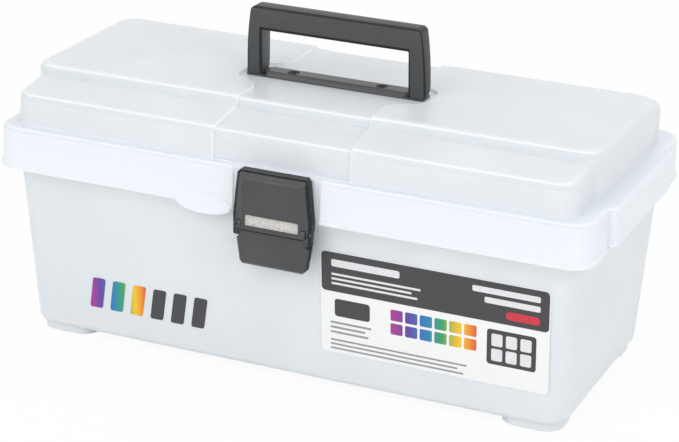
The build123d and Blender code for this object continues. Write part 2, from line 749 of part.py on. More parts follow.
lever_top = link_z - swing_radius
lever_end = lever_top - lever_length
shoulder_z = link_z - lever_shoulder
lever_neck = cheek_outer
lever_outline = both_sides([
    (lever_end_half, lever_end), (lever_top_half, shoulder_z - lever_shoulder_slope),
    (lever_neck, shoulder_z), (lever_neck, lever_top + overlap),
])
lever_hollow = both_sides([
    (lever_end_half - lever_thick, lever_end + lever_thick),
    (lever_top_half - lever_thick, shoulder_z - lever_shoulder_slope - lever_thick),
    (lever_neck - lever_thick, shoulder_z - lever_thick), (lever_neck - lever_thick, lever_top + 2 * overlap),
])
with BuildPart() as latch_lever:
    with BuildSketch(Plane.XZ.offset(-lever_y)) as paddle:
        Polygon(*lever_outline, align=None)
        fillet(paddle.vertices().group_by(Axis.Y)[0], lever_corner)
    extrude(amount=-lever_depth)
    front_edges = latch_lever.faces().sort_by(Axis.Y)[0].edges().filter_by(
        lambda e: e.center().Z < shoulder_z - lever_shoulder_slope / 4
    )
    chamfer(front_edges, lever_bevel)
    # Hollow behind
    with BuildSketch(Plane.XZ.offset(-lever_y - lever_thick)):
        Polygon(*lever_hollow, align=None)
    extrude(amount=-(lever_depth - lever_thick), mode=Mode.SUBTRACT)
    # Room for the hook's sill to swing
    with BuildSketch(Plane.YZ.offset(-arm_outer)):
        with Locations((link_y, link_z)):
            Circle(swing_radius)
    extrude(amount=latch_width, mode=Mode.SUBTRACT)
    # Cheeks from the paddle past the hook's pins to the pivot on the bracket
    for side in (-1, 1):
        middle = side * (bracket_half + side_play + cheek_thick / 2)
        with BuildSketch(Plane.YZ.offset(middle - cheek_thick / 2)):
            with Locations((pivot_y, pivot_z), (link_y, link_z)):
                Circle(cheek_radius)
            make_hull()
            Polygon(
                (link_y - cheek_radius * 0.6, link_z), (link_y + cheek_radius, link_z),
                (lever_y + lever_depth, lever_top - lever_depth), (lever_y + lever_bevel, lever_top - lever_depth),
                align=None,
            )
            with Locations((pivot_y, pivot_z)):
                Circle(latch_pin_radius + running_gap, mode=Mode.SUBTRACT)
            with Locations((link_y, link_z)):
                Circle(latch_pin_radius, mode=Mode.SUBTRACT)
        extrude(amount=cheek_thick)

with BuildPart() as latch_pivot_pin:
    with BuildSketch(Plane.YZ.offset(-cheek_outer)):
        with Locations((pivot_y, pivot_z)):
            Circle(latch_pin_radius)
    extrude(amount=2 * cheek_outer)

hook_pins = {}
for hand, side in (("left", -1), ("right", 1)):
    start = -pin_outer if side < 0 else cheek_outer - cheek_thick
    with BuildPart() as pin:
        with BuildSketch(Plane.YZ.offset(start)):
            with Locations((link_y, link_z)):
                Circle(latch_pin_radius)
        extrude(amount=pin_outer - cheek_outer + cheek_thick)
    hook_pins[f"latch_hook_pin_{hand}"] = pin

# Label on the tub's sloping front
slope = atan(tub_slope)
wall_plane = Plane(
    origin=(0, -tub_low_y, foot_height), x_dir=(1, 0, 0), z_dir=(0, -cos(slope), -sin(slope))
)
with BuildPart() as front_label:
    with BuildSketch(wall_plane):
        middle = ((label_left + label_right) / 2, (label_low + label_high) / 2 - foot_height)
        with Locations(middle):
            RectangleRounded(label_right - label_left, label_high - label_low, label_corner)
    extrude(amount=label_thick)

pieces = {
    "tub": tub,
    "lid": lid,
    **hinge_pins,
    "tray": tray,
    "handle_bail": handle_bail,
    "handle_base": handle_base,
    **handle_hardware,
    "latch_hook": latch_hook,
    "latch_lever": latch_lever,
    "latch_pivot_pin": latch_pivot_pin,
    **hook_pins,
    "front_label": front_label,
}

os.makedirs("parts", exist_ok=True)
for name, piece in pieces.items():
    piece.part.label = name
    export_step(piece.part, f"parts/{name}.step")
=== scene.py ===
# %% [markdown]
# # A frosted lift-out tray box
#
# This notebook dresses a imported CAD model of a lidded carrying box: a tapered tub, a stepped lid
# with a dark folding handle, a dark draw latch and a tray inside. The CAD model is the fixed frame.
# Everything here is in metres, in the frame of that model: X along the box, -Y to its front, Z up.
# Sizes are typed in millimetres and multiplied by MM, because that is how a moulding is drawn.

import bmesh
import bpy
import numpy as np
from mathutils import Matrix


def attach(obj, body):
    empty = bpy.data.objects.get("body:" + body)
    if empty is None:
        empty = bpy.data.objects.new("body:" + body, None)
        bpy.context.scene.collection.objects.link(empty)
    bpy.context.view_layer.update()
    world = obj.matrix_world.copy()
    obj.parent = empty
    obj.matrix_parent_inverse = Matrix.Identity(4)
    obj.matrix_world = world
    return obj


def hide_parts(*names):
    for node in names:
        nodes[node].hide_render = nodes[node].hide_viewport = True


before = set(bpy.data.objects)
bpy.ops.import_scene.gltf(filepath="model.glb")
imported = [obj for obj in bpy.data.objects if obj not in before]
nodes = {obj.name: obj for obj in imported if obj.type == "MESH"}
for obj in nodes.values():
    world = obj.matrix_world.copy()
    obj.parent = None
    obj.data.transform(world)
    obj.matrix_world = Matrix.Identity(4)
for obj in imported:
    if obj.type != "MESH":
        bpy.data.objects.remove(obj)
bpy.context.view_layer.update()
MM = 0.001

# %% [markdown]
# ## The camera
#
# The photograph was taken from the right of the front and from above, through a long lens. The
# camera was fitted to the box's edges, so it is given here by the point it looks at, its two
# angles, its distance and its small roll about the line of sight.

# %% Place the camera
IMAGE_WIDTH = 679
AZIMUTH, ELEVATION, ROLL = np.radians([23.33, 21.23, 1.42])
LOOK_AT = np.array([0.79, 0.0, 82.1]) * MM
DISTANCE = 1532.0 * MM
FOCAL_PIXELS = 2312.2
SENSOR = 36.0


def camera_axes(azimuth, elevation, roll):
    """The camera's right, up and back directions: back points from the target to the camera, right
    and up are square to it, and both are turned about it by the roll."""
    back = np.array([np.sin(azimuth) * np.cos(elevation), -np.cos(azimuth) * np.cos(elevation),
                     np.sin(elevation)])
    level_right = np.cross(-back, [0.0, 0.0, 1.0])
    level_right /= np.linalg.norm(level_right)
    level_up = np.cross(level_right, -back)
    right = level_right * np.cos(roll) + level_up * np.sin(roll)
    up = -level_right * np.sin(roll) + level_up * np.cos(roll)
    return right, up, back


def add_camera(look_at, distance):
    """A camera at the target plus its back direction times the distance, seeing along minus back."""
    right, up, back = camera_axes(AZIMUTH, ELEVATION, ROLL)
    data = bpy.data.cameras.new("photograph_view")
    data.sensor_width = SENSOR
    data.lens = FOCAL_PIXELS * SENSOR / IMAGE_WIDTH
    data.clip_start, data.clip_end = 0.05, 50.0
    camera = bpy.data.objects.new("photograph_view", data)
    bpy.context.scene.collection.objects.link(camera)
    matrix = np.eye(4)
    matrix[:3, 0], matrix[:3, 1], matrix[:3, 2] = right, up, back
    matrix[:3, 3] = look_at + back * distance
    camera.matrix_world = Matrix(matrix.tolist())
    bpy.context.scene.camera = camera
    return camera


camera = add_camera(LOOK_AT, DISTANCE)
print("camera lens in mm:", round(camera.data.lens, 2))

# %% [markdown]
# ## Finishes
#
# The box is injection moulded. The tub, lid and tray are natural polypropylene, which is milky
# rather than clear: light goes into it, spreads and comes back out, and a little passes straight
# through. The handle and latch are the same plastic filled with carbon black, and both moulds were
# given a fine spark-eroded grain, which turns gloss into a satin sheen. Colours are written as
# sRGB hex, as a colour picker shows them, and one function turns them into the linear values that
# the renderer works in.

# %% Colour and node helpers
def linear(hex_colour):
    """sRGB hex to linear RGBA: each channel below 0.04045 is divided by 12.92, and each above is
    raised to the power 2.4 after adding 0.055 and dividing by 1.055."""
    channel = np.array([int(hex_colour[i:i + 2], 16) for i in (1, 3, 5)]) / 255.0
    low, high = channel / 12.92, ((channel + 0.055) / 1.055) ** 2.4
    return (*np.where(channel <= 0.04045, low, high).tolist(), 1.0)


def add_node(tree, kind, settings=None, links=None):
    """Adds one node, sets its properties or sockets by name, and links its sockets to others."""
    node = tree.nodes.new(kind)
    for key, value in (settings or {}).items():
        if isinstance(key, str) and hasattr(node, key):
            setattr(node, key, value)
        else:
            node.inputs[key].default_value = value
    for socket, source in (links or {}).items():
        tree.links.new(source, node.inputs[socket])
    return node


def new_material(name, **sockets):
    """A material with one Principled shader whose named sockets hold constants."""
    material = bpy.data.materials.new(name)
    material.use_nodes = True
    shader = material.node_tree.nodes["Principled BSDF"]
    for key, value in sockets.items():
        shader.inputs[key.replace("_", " ")].default_value = value
    return material, material.node_tree, shader


def set_ramp(node, stops):
    """Fills a colour ramp with (position, hex) stops."""
    ramp = node.color_ramp
    while len(ramp.elements) < len(stops):
        ramp.elements.new(0.5)
    for element, (position, colour) in zip(ramp.elements, stops):
        element.position = position
        element.color = linear(colour)


# %% [markdown]
# Milky polypropylene: a near white with a breath of blue, IOR 1.49. Subsurface scattering a few
# millimetres deep gives the soft look of a 2 mm wall, and an alpha just under one lets the tray
# show through as a slightly paler band. Wide clouds, about 60 mm across, are where the melt cooled
# unevenly. The grain is 0.9 mm here, coarser than the real 0.1 mm one, so that it can show at all.
#
# Such a wall guides light along itself and lets it out where it turns. That light is painted: every
# edge is painted whiter, the crest of each rounded upper edge of the lid gets a painted highlight
# and its flank a little painted shade, and the skirt is painted whiter than the rest, because two
# walls lie one behind the other there and the second sends light back. The light that leaves the
# small walls of the lid's channel, and the light that comes down through the skirt, would need very
# long paths in a renderer, so each is a faint painted glow instead.

# %% Painted light over the lid: skirt, crest highlight and flank shade
# Sockets of a Mix node set to colours: the share, the first colour, the second one, the result.
SHARE, FIRST, SECOND, RESULT = 0, 6, 7, 2
PAINTED_LIGHT_WHITE, FLANK_SHADE_TONE = "#FFFFFF", "#D6DDE2"
# The skirt is painted whiter below its top: painted light.
SKIRT_TOP, SKIRT_FADE, SKIRT_PAINTED_WHITE, SKIRT_SHARE = 149.0, 1.0, "#F0F6FE", 1.0
# The flank gets painted shade and the crest a painted highlight, by ramps over the normal's upward part.
FLANK_SHADE_STOPS = [(0.10, "#000000"), (0.25, "#FFFFFF"), (0.60, "#FFFFFF"), (0.70, "#000000")]
CREST_HIGHLIGHT_STOPS = [(0.68, "#000000"), (0.76, "#FFFFFF"), (0.84, "#FFFFFF"), (0.90, "#000000")]
FLANK_SHADE_SHARE, CREST_HIGHLIGHT_SHARE = 0.5, 0.8
FRONT_FROM, FRONT_FULL = 0.25, 0.5


def skirt_painted_lighter(tree, place, colour):
    """Painted light: mixes white into a colour below the top of the skirt, by height in the object, for
    the light that the second wall behind the skirt sends back.
    """
    spot = add_node(tree, "ShaderNodeSeparateXYZ", {}, {"Vector": place.outputs["Object"]})
    skirt_lit_share = add_node(tree, "ShaderNodeMapRange", {
        "From Min": (SKIRT_TOP + SKIRT_FADE) * MM, "From Max": (SKIRT_TOP - SKIRT_FADE) * MM,
        "To Max": SKIRT_SHARE}, {"Value": spot.outputs["Z"]})
    white = add_node(tree, "ShaderNodeMix", {"data_type": "RGBA", SECOND: linear(SKIRT_PAINTED_WHITE)},
                     {SHARE: skirt_lit_share.outputs["Result"], FIRST: colour})
    return white.outputs[RESULT]


def painted_crest_highlight_and_flank_shade(tree, place, colour):
    """Painted highlight along the crest of each rounded upper edge and a little painted shade on its
    flank: both are ramps over the upward part of the object's own normal, and both fade out on the two
    ends."""
    facing = add_node(tree, "ShaderNodeSeparateXYZ", {}, {"Vector": place.outputs["Normal"]})
    frontways = add_node(tree, "ShaderNodeMath", {"operation": "ABSOLUTE"}, {0: facing.outputs["Y"]})
    for stops, tone, most in ((FLANK_SHADE_STOPS, FLANK_SHADE_TONE, FLANK_SHADE_SHARE),
                              (CREST_HIGHLIGHT_STOPS, PAINTED_LIGHT_WHITE, CREST_HIGHLIGHT_SHARE)):
        upward = add_node(tree, "ShaderNodeValToRGB", {}, {"Fac": facing.outputs["Z"]})
        set_ramp(upward, stops)
        front = add_node(tree, "ShaderNodeMapRange", {
            "From Min": FRONT_FROM, "From Max": FRONT_FULL, "To Max": most},
            {"Value": frontways.outputs[0]})
        both = add_node(tree, "ShaderNodeMath", {"operation": "MULTIPLY"}, {
            0: upward.outputs["Color"], 1: front.outputs["Result"]})
        toned = add_node(tree, "ShaderNodeMix", {"data_type": "RGBA", SECOND: linear(tone)},
                         {SHARE: both.outputs[0], FIRST: colour})
        colour = toned.outputs[RESULT]
    return colour


print("tones: skirt, flank and crest")

# %% Painted glow for the light that the walls let out
CHANNEL_REACH, CHANNEL_FADE, CHANNEL_GLOW = 70.0, 1.0, 0.14
UPRIGHT_FROM, UPRIGHT_FULL = 0.3, 0.7
UNDER_SKIRT_GLOW_FROM, UNDER_SKIRT_GLOW_TO, UNDER_SKIRT_GLOW = 110.5, 118.5, 0.12


def painted_glow_on_channel_walls(tree, place, shader):
    """A painted glow for the light guided along the lid that leaves it at the small upright walls of the
    channel, which lifts their shade: where the object's own normal lies along X and the place is near
    the middle of the lid."""
    facing = add_node(tree, "ShaderNodeSeparateXYZ", {}, {"Vector": place.outputs["Normal"]})
    spot = add_node(tree, "ShaderNodeSeparateXYZ", {}, {"Vector": place.outputs["Object"]})
    sideways = add_node(tree, "ShaderNodeMath", {"operation": "ABSOLUTE"}, {0: facing.outputs["X"]})
    from_middle = add_node(tree, "ShaderNodeMath", {"operation": "ABSOLUTE"}, {0: spot.outputs["X"]})
    upright = add_node(tree, "ShaderNodeMapRange", {"From Min": UPRIGHT_FROM, "From Max": UPRIGHT_FULL},
                       {"Value": sideways.outputs[0]})
    inside = add_node(tree, "ShaderNodeMapRange", {
        "From Min": CHANNEL_REACH * MM, "From Max": (CHANNEL_REACH - CHANNEL_FADE) * MM,
        "To Max": CHANNEL_GLOW}, {"Value": from_middle.outputs[0]})
    strength = add_node(tree, "ShaderNodeMath", {"operation": "MULTIPLY"}, {
        0: upright.outputs["Result"], 1: inside.outputs["Result"]})
    shader.inputs["Emission Color"].default_value = linear(PAINTED_LIGHT_WHITE)
    tree.links.new(strength.outputs[0], shader.inputs["Emission Strength"])


def painted_glow_under_skirt(tree, place, shader):
    """A painted glow that lifts the shade on the wall just under the lid's skirt, for the light that the
    skirt lets down on to it: it grows over the last few millimetres of height."""
    spot = add_node(tree, "ShaderNodeSeparateXYZ", {}, {"Vector": place.outputs["Object"]})
    strength = add_node(tree, "ShaderNodeMapRange", {
        "From Min": UNDER_SKIRT_GLOW_FROM * MM, "From Max": UNDER_SKIRT_GLOW_TO * MM, "To Max": UNDER_SKIRT_GLOW},
        {"Value": spot.outputs["Z"]})
    shader.inputs["Emission Color"].default_value = linear(PAINTED_LIGHT_WHITE)
    tree.links.new(strength.outputs["Result"], shader.inputs["Emission Strength"])


print("glow: channel walls and the wall under the skirt")

# %% Frosted polypropylene
CLOUD_PER_M = 1000.0 / 60.0
GRAIN_PER_M = 1000.0 / 0.9
SCATTER_DEPTH = 3.0
EDGE_LIGHT_RADIUS, EDGE_LIGHT_FROM, EDGE_LIGHT_FULL, EDGE_LIGHT_SHARE = 0.9, 0.995, 0.90, 0.85


def frosted_polypropylene(name, pale, deep, alpha, roughness, has_skirt=False, glows_under_skirt=False):
    """Milky plastic: two near whites mixed by wide soft noise, painted light as white along its edges,
    and a fine noise as bump. An edge is found where the normal rounded over a short radius leaves the
    true one."""
    material, tree, shader = new_material(
        name, Roughness=roughness, IOR=1.49, Alpha=alpha, Subsurface_Weight=0.35,
        Subsurface_Scale=SCATTER_DEPTH * MM, Subsurface_Radius=(1.0, 1.0, 1.0), Specular_IOR_Level=0.5)
    place = add_node(tree, "ShaderNodeTexCoord")
    clouds = add_node(tree, "ShaderNodeTexNoise", {"Scale": CLOUD_PER_M, "Detail": 3.0, "Roughness": 0.55},
                      {"Vector": place.outputs["Object"]})
    tint = add_node(tree, "ShaderNodeValToRGB", {}, {"Fac": clouds.outputs["Fac"]})
    set_ramp(tint, [(0.35, deep), (0.65, pale)])
    rounded = add_node(tree, "ShaderNodeBevel", {"samples": 6, "Radius": EDGE_LIGHT_RADIUS * MM})
    true = add_node(tree, "ShaderNodeNewGeometry")
    same = add_node(tree, "ShaderNodeVectorMath", {"operation": "DOT_PRODUCT"}, {
        0: rounded.outputs["Normal"], 1: true.outputs["Normal"]})
    edge = add_node(tree, "ShaderNodeMapRange", {
        "From Min": EDGE_LIGHT_FROM, "From Max": EDGE_LIGHT_FULL, "To Max": EDGE_LIGHT_SHARE},
        {"Value": same.outputs["Value"]})
    colour = tint.outputs["Color"]
    if has_skirt:
        colour = painted_crest_highlight_and_flank_shade(tree, place, skirt_painted_lighter(tree, place, colour))
        painted_glow_on_channel_walls(tree, place, shader)
    if glows_under_skirt:
        painted_glow_under_skirt(tree, place, shader)
    # Painted light: every edge is mixed towards white.
    edge_painted_light = add_node(tree, "ShaderNodeMix", {"data_type": "RGBA", SECOND: linear(PAINTED_LIGHT_WHITE)},
                        {SHARE: edge.outputs["Result"], FIRST: colour})
    tree.links.new(edge_painted_light.outputs[RESULT], shader.inputs["Base Color"])
    grain = add_node(tree, "ShaderNodeTexNoise", {"Scale": GRAIN_PER_M, "Detail": 2.0},
                     {"Vector": place.outputs["Object"]})
    bump = add_node(tree, "ShaderNodeBump", {"Strength": 0.12, "Distance": 0.05 * MM},
                    {"Height": grain.outputs["Fac"]})
    tree.links.new(bump.outputs["Normal"], shader.inputs["Normal"])
    return material


milky_wall = frosted_polypropylene("frosted_polypropylene_wall", "#EBF1F5", "#E6ECF0", 0.88, 0.32,
                                   glows_under_skirt=True)
milky_lid = frosted_polypropylene("frosted_polypropylene_lid", "#ECF1F5", "#E7ECF0", 0.88, 0.36,
                                  has_skirt=True)
milky_tray = frosted_polypropylene("frosted_polypropylene_tray", "#FBFDFE", "#F6F9FB", 0.94, 0.36)
print("frosted finishes:", milky_wall.name, milky_lid.name, milky_tray.name)

# %% [markdown]
# Dark polypropylene: charcoal rather than black, because the grain scatters light. The bump is a
# 0.6 mm grain, and the roughness wanders a little where hands polish it. The rims of the handle and
# the latch get a darker and less glossy copy of the same plastic: painted shade.

# %% Charcoal polypropylene
CHARCOAL_GRAIN_PER_M = 1000.0 / 0.6
WEAR_PER_M = 1000.0 / 25.0


def charcoal_polypropylene(name, colour, worn, specular=0.5):
    """Dark plastic: one charcoal, worn lighter by soft noise, with fine grain as bump."""
    material, tree, shader = new_material(name, IOR=1.49, Specular_IOR_Level=specular)
    place = add_node(tree, "ShaderNodeTexCoord")
    wear = add_node(tree, "ShaderNodeTexNoise", {"Scale": WEAR_PER_M, "Detail": 4.0},
                    {"Vector": place.outputs["Object"]})
    tint = add_node(tree, "ShaderNodeValToRGB", {}, {"Fac": wear.outputs["Fac"]})
    set_ramp(tint, [(0.40, colour), (0.75, worn)])
    tree.links.new(tint.outputs["Color"], shader.inputs["Base Color"])
    sheen = add_node(tree, "ShaderNodeMapRange", {"To Min": 0.40, "To Max": 0.28},
                     {"Value": wear.outputs["Fac"]})
    tree.links.new(sheen.outputs["Result"], shader.inputs["Roughness"])
    grain = add_node(tree, "ShaderNodeTexNoise", {"Scale": CHARCOAL_GRAIN_PER_M, "Detail": 2.0},
                     {"Vector": place.outputs["Object"]})
    bump = add_node(tree, "ShaderNodeBump", {"Strength": 0.25, "Distance": 0.06 * MM},
                    {"Height": grain.outputs["Fac"]})
    tree.links.new(bump.outputs["Normal"], shader.inputs["Normal"])
    return material


charcoal = charcoal_polypropylene("charcoal_polypropylene", "#3E3F41", "#464749")
# Painted shade: a darker, less glossy copy of the charcoal for the rims.
rim_painted_shade = charcoal_polypropylene("charcoal_rim_painted_shade", "#1F2022", "#27282A", 0.25)
print("charcoal finishes:", charcoal.name, rim_painted_shade.name)

# %% [markdown]
# The metal is small: zinc-plated pins and nuts, bright but drawn through a die, so streaked along
# their length, and screws with a black oxide skin. The label is a coated plastic film, and its
# inks are flat colours with a faint mottle, as is the pale plastic behind the latch's window, whose
# white is drawn warm grey as painted shade. A stretched noise stands in for the drawing marks.

# %% Metal, film and ink
STREAKS_PER_M = (50.0, 2000.0, 2000.0)
STREAK_SPREAD = 0.08
MOTTLE_PER_M = 1000.0 / 2.0


def drawn_steel(name, colour, roughness):
    """Metal drawn along X: noise stretched forty times along X changes its roughness a little."""
    material, tree, shader = new_material(name, Metallic=1.0, Base_Color=linear(colour))
    place = add_node(tree, "ShaderNodeTexCoord")
    stretch = add_node(tree, "ShaderNodeMapping", {"Scale": STREAKS_PER_M},
                       {"Vector": place.outputs["Object"]})
    streaks = add_node(tree, "ShaderNodeTexNoise", {"Scale": 1.0, "Detail": 3.0},
                       {"Vector": stretch.outputs["Vector"]})
    spread = add_node(tree, "ShaderNodeMapRange",
                      {"To Min": roughness - STREAK_SPREAD, "To Max": roughness + STREAK_SPREAD},
                      {"Value": streaks.outputs["Fac"]})
    tree.links.new(spread.outputs["Result"], shader.inputs["Roughness"])
    return material


def even_finish(name, colour, mottle, roughness=0.32):
    """Ink, film or thin plain plastic: a colour with a faint 2 mm mottle towards a second one."""
    material, tree, shader = new_material(name, Roughness=roughness, IOR=1.5)
    place = add_node(tree, "ShaderNodeTexCoord")
    noise = add_node(tree, "ShaderNodeTexNoise", {"Scale": MOTTLE_PER_M, "Detail": 2.0},
                     {"Vector": place.outputs["Object"]})
    tint = add_node(tree, "ShaderNodeValToRGB", {}, {"Fac": noise.outputs["Fac"]})
    set_ramp(tint, [(0.3, colour), (0.7, mottle)])
    tree.links.new(tint.outputs["Color"], shader.inputs["Base Color"])
    return material


def rainbow_ink(name, start_mm, end_mm, stops):
    """Ink whose colour runs along X: Object X from start to end becomes 0 to 1 in a colour ramp."""
    material, tree, shader = new_material(name, Roughness=0.32, IOR=1.5)
    place = add_node(tree, "ShaderNodeTexCoord")
    split = add_node(tree, "ShaderNodeSeparateXYZ", {}, {"Vector": place.outputs["Object"]})
    along = add_node(tree, "ShaderNodeMapRange", {"From Min": start_mm * MM, "From Max": end_mm * MM},
                     {"Value": split.outputs["X"]})
    tint = add_node(tree, "ShaderNodeValToRGB", {}, {"Fac": along.outputs["Result"]})
    set_ramp(tint, stops)
    tree.links.new(tint.outputs["Color"], shader.inputs["Base Color"])
    return material


SPECTRUM = [(0.0, "#B0308C"), (0.2, "#5A3C9E"), (0.4, "#1F77B8"), (0.6, "#2FA055"), (0.8, "#F2C21A"),
            (1.0, "#DE3A2A")]
zinc_steel = drawn_steel("zinc_plated_steel", "#A9AAAE", 0.34)
black_oxide = drawn_steel("black_oxide_steel", "#2A2A2C", 0.42)
white_film = even_finish("coated_white_film", "#F1F1F1", "#EDEEEE")
charcoal_ink = even_finish("charcoal_ink", "#3B3B3E", "#404043")
grey_ink = even_finish("grey_ink", "#8C8E92", "#96989C")
pale_ink = even_finish("pale_ink", "#E4E5E7", "#DADBDD")
red_ink = even_finish("red_ink", "#C8283A", "#CF3344")
front_ink = rainbow_ink("front_spectrum_ink", -142.0, -99.0, SPECTRUM)
label_ink = rainbow_ink("label_spectrum_ink", 74.0, 132.0, SPECTRUM)
# The tub's white plastic seen through the latch's window, drawn warm grey as painted shade.
window_plastic_in_painted_shade = even_finish("warm_grey_painted_shade", "#D6D4D1", "#BFBCB8", 0.35)
print("metal, film and ink finishes are made")

# %% [markdown]
# ## Dressing the CAD solids
#
# The CAD solids have the right shapes, so they stay or are copied. A CAD mesh is loose triangles,
# each flat, and round edges made of flats catch the light in stripes. The tub, the lid and the tray
# are therefore copied, their loose triangles are joined, and each face is shaded smooth except
# across real edges. Normals weighted by face area keep the big flat walls flat.

# %% Copy the moulded shells with smooth fillets
SMOOTH_ANGLE = np.radians(32.0)
JOIN_WITHIN = 0.002 * MM
FLAT_WALL_WEIGHT = 70


def link(name, mesh, material):
    """Puts a mesh into the scene as an object at the origin, with one material."""
    mesh.materials.clear()
    mesh.materials.append(material)
    piece = bpy.data.objects.new(name, mesh)
    bpy.context.scene.collection.objects.link(piece)
    return piece


def shade(piece, angle=SMOOTH_ANGLE, weighted=True):
    """Smooth shading with edges sharper than the angle kept, and normals weighted by face area."""
    mesh = piece.data
    mesh.polygons.foreach_set("use_smooth", np.ones(len(mesh.polygons), bool))
    mesh.set_sharp_from_angle(angle=angle)
    if weighted:
        normals = piece.modifiers.new("flat_walls", "WEIGHTED_NORMAL")
        normals.keep_sharp = True
        normals.weight = FLAT_WALL_WEIGHT


def corner_places(mesh):
    """The mesh's corners, one row of x, y and z for each."""
    flat = np.empty(3 * len(mesh.vertices))
    mesh.vertices.foreach_get("co", flat)
    return flat.reshape(-1, 3)


def smooth_copy(node, name, material):
    """The node's triangles joined where their corners meet: corners rounded to a small step are the
    same corner, and each triangle is rewritten with the joined corners."""
    source = nodes[node].data
    points = corner_places(source)
    corners = np.empty(len(source.loops), int)
    source.loops.foreach_get("vertex_index", corners)
    step = np.round(points / JOIN_WITHIN).astype(np.int64)
    _, first, joined = np.unique(step, axis=0, return_index=True, return_inverse=True)
    triangles = joined.reshape(-1)[corners].reshape(-1, 3)
    real = (triangles[:, 0] != triangles[:, 1]) & (triangles[:, 1] != triangles[:, 2]) & (
        triangles[:, 2] != triangles[:, 0])
    mesh = bpy.data.meshes.new(name)
    mesh.from_pydata(points[first].tolist(), [], triangles[real].tolist())
    piece = link(name, mesh, material)
    shade(piece)
    return piece


SHELLS = {"tub": ("tub", milky_wall), "lid": ("lid", milky_lid), "tray": ("tray", milky_tray)}
for node, (body, material) in SHELLS.items():
    shell = smooth_copy(node, f"{node}_moulding", material)
    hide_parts(node)
    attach(shell, body)
    print(shell.name, "faces:", len(shell.data.polygons))

# %% [markdown]
# The handle's base is a copy too. Its pads are drawn in until they are flush with the handle's feet,
# and the front edge of its plate is drawn back to a slope.

# %% Copy the handle's base
HANDLE_Y = -7.0
PLATE_TOP, PLATE_FRONT, SLOPE_RUN = 182.2, -13.0, 2.2
UNDER_TOP, BEHIND_FRONT = 0.1, 0.3
PAD_HALF_X, PAD_HALF_Y = 61.9, 5.95

base = smooth_copy("handle_base", "handle_base_moulding", charcoal)
spots = corner_places(base.data) / MM
spots[:, 0] = np.clip(spots[:, 0], -PAD_HALF_X, PAD_HALF_X)
spots[:, 1] = np.clip(spots[:, 1], HANDLE_Y - PAD_HALF_Y, HANDLE_Y + PAD_HALF_Y)
on_edge = (spots[:, 2] > PLATE_TOP - UNDER_TOP) & (spots[:, 1] < PLATE_FRONT + BEHIND_FRONT)
spots[on_edge, 1] += SLOPE_RUN
base.data.vertices.foreach_set("co", (spots * MM).reshape(-1))
base.data.update()
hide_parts("handle_base")
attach(base, "lid")
print(base.name, "corners on the slope:", int(on_edge.sum()))

# %% [markdown]
# The pins, screws, nuts and the label's film are plain turned, pressed or cut shapes, so they keep
# their CAD solids and only get a finish.

# %% Dress the small parts that keep their CAD solids
FINISH = {"front_label": white_film, "latch_pivot_pin": zinc_steel}
for name in nodes:
    if name.startswith("handle_screw"):
        FINISH[name] = black_oxide
    elif "nut" in name or "pin_" in name:
        FINISH[name] = zinc_steel
for name, material in FINISH.items():
    nodes[name].data.materials.clear()
    nodes[name].data.materials.append(material)
print("dressed CAD nodes:", sorted(FINISH))

# %% [markdown]
# ## Surfaces from grids
#
# Every new moulding is a function of two parameters, worked out for a whole grid at once. Small
# helpers number the grid's faces, leave out the cells that fall in a hole, space the grid's lines
# through the places that matter, and round off a closed outline.

# %% Grid helpers
def grid_faces(rows, columns, close_columns=False):
    """Four corner numbers for each cell of a grid: itself, next column, both next, next row. Closed,
    the column after the last one is the first."""
    row = np.arange(rows - 1)[:, None]
    column = np.arange(columns if close_columns else columns - 1)[None, :]
    here, above, after = row * columns, (row + 1) * columns, (column + 1) % columns
    cells = np.stack([here + column, here + after, above + after, above + column], axis=-1)
    return cells.reshape(-1, 4)


def grid_piece(name, points, material, keep=None, close_columns=False, caps=()):
    """A mesh from a grid of points, cells kept where the mask says so, ends closed by caps."""
    rows, columns = points.shape[:2]
    faces = grid_faces(rows, columns, close_columns)
    if keep is not None:
        faces = faces[keep.reshape(-1)]
    used, renumbered = np.unique(np.concatenate([faces.reshape(-1), *[np.array(c) for c in caps]]),
                                 return_inverse=True)
    quads = renumbered[:faces.size].reshape(-1, 4).tolist()
    start = faces.size
    for cap in caps:
        quads.append(renumbered[start:start + len(cap)].tolist())
        start += len(cap)
    mesh = bpy.data.meshes.new(name)
    mesh.from_pydata(points.reshape(-1, 3)[used].tolist(), [], quads)
    return link(name, mesh, material)


def spaced(stops, spacing):
    """Numbers that pass through every stop, evenly spaced between two stops, no wider than spacing."""
    stops = np.asarray(stops, float)
    runs = [np.linspace(a, b, max(2, int(np.ceil((b - a) / spacing)) + 1))[:-1]
            for a, b in zip(stops[:-1], stops[1:])]
    return np.concatenate([*runs, stops[-1:]])


def cut_corners(loop):
    """Corner cutting on a closed loop: each side is replaced by the two points a quarter and three
    quarters along it, so corners round off and the loop stays inside its first outline."""
    ahead = np.roll(loop, -1, axis=0)
    return np.stack([0.75 * loop + 0.25 * ahead, 0.25 * loop + 0.75 * ahead], axis=1).reshape(-1, 2)


print("grid helpers ready")

# %% [markdown]
# ## The carrying handle
#
# The handle is a frame like a picture's: two posts and a grip, meeting in mitred corners, with
# round outer corners and square inner ones. Its section is crowned at the front, so it is made as
# one section carried round the frame. At each station the section reaches from a point on the inner
# outline to a point on the outer outline. Its feet are round at the back, where they roll on the
# pads as the handle folds.

# %% Outline the handle frame
FOOT_Z, PIVOT_Z, HANDLE_TOP = 179.9, 185.9, 225.7
FOOT_RADIUS = 6.0
FRONT_LEAN, BACK_LEAN = 3.2, 0.4
FOOT_HALF, TOP_HALF, OPENING_HALF = 62.6, 59.8, 50.8
OPENING_TOP = 209.5
OUTER_ROUND, RIDGE_ROUND, INNER_ROUND = 4.6, 1.0, 0.8
POST_BOW = 2.4
RIDGE = 0.88


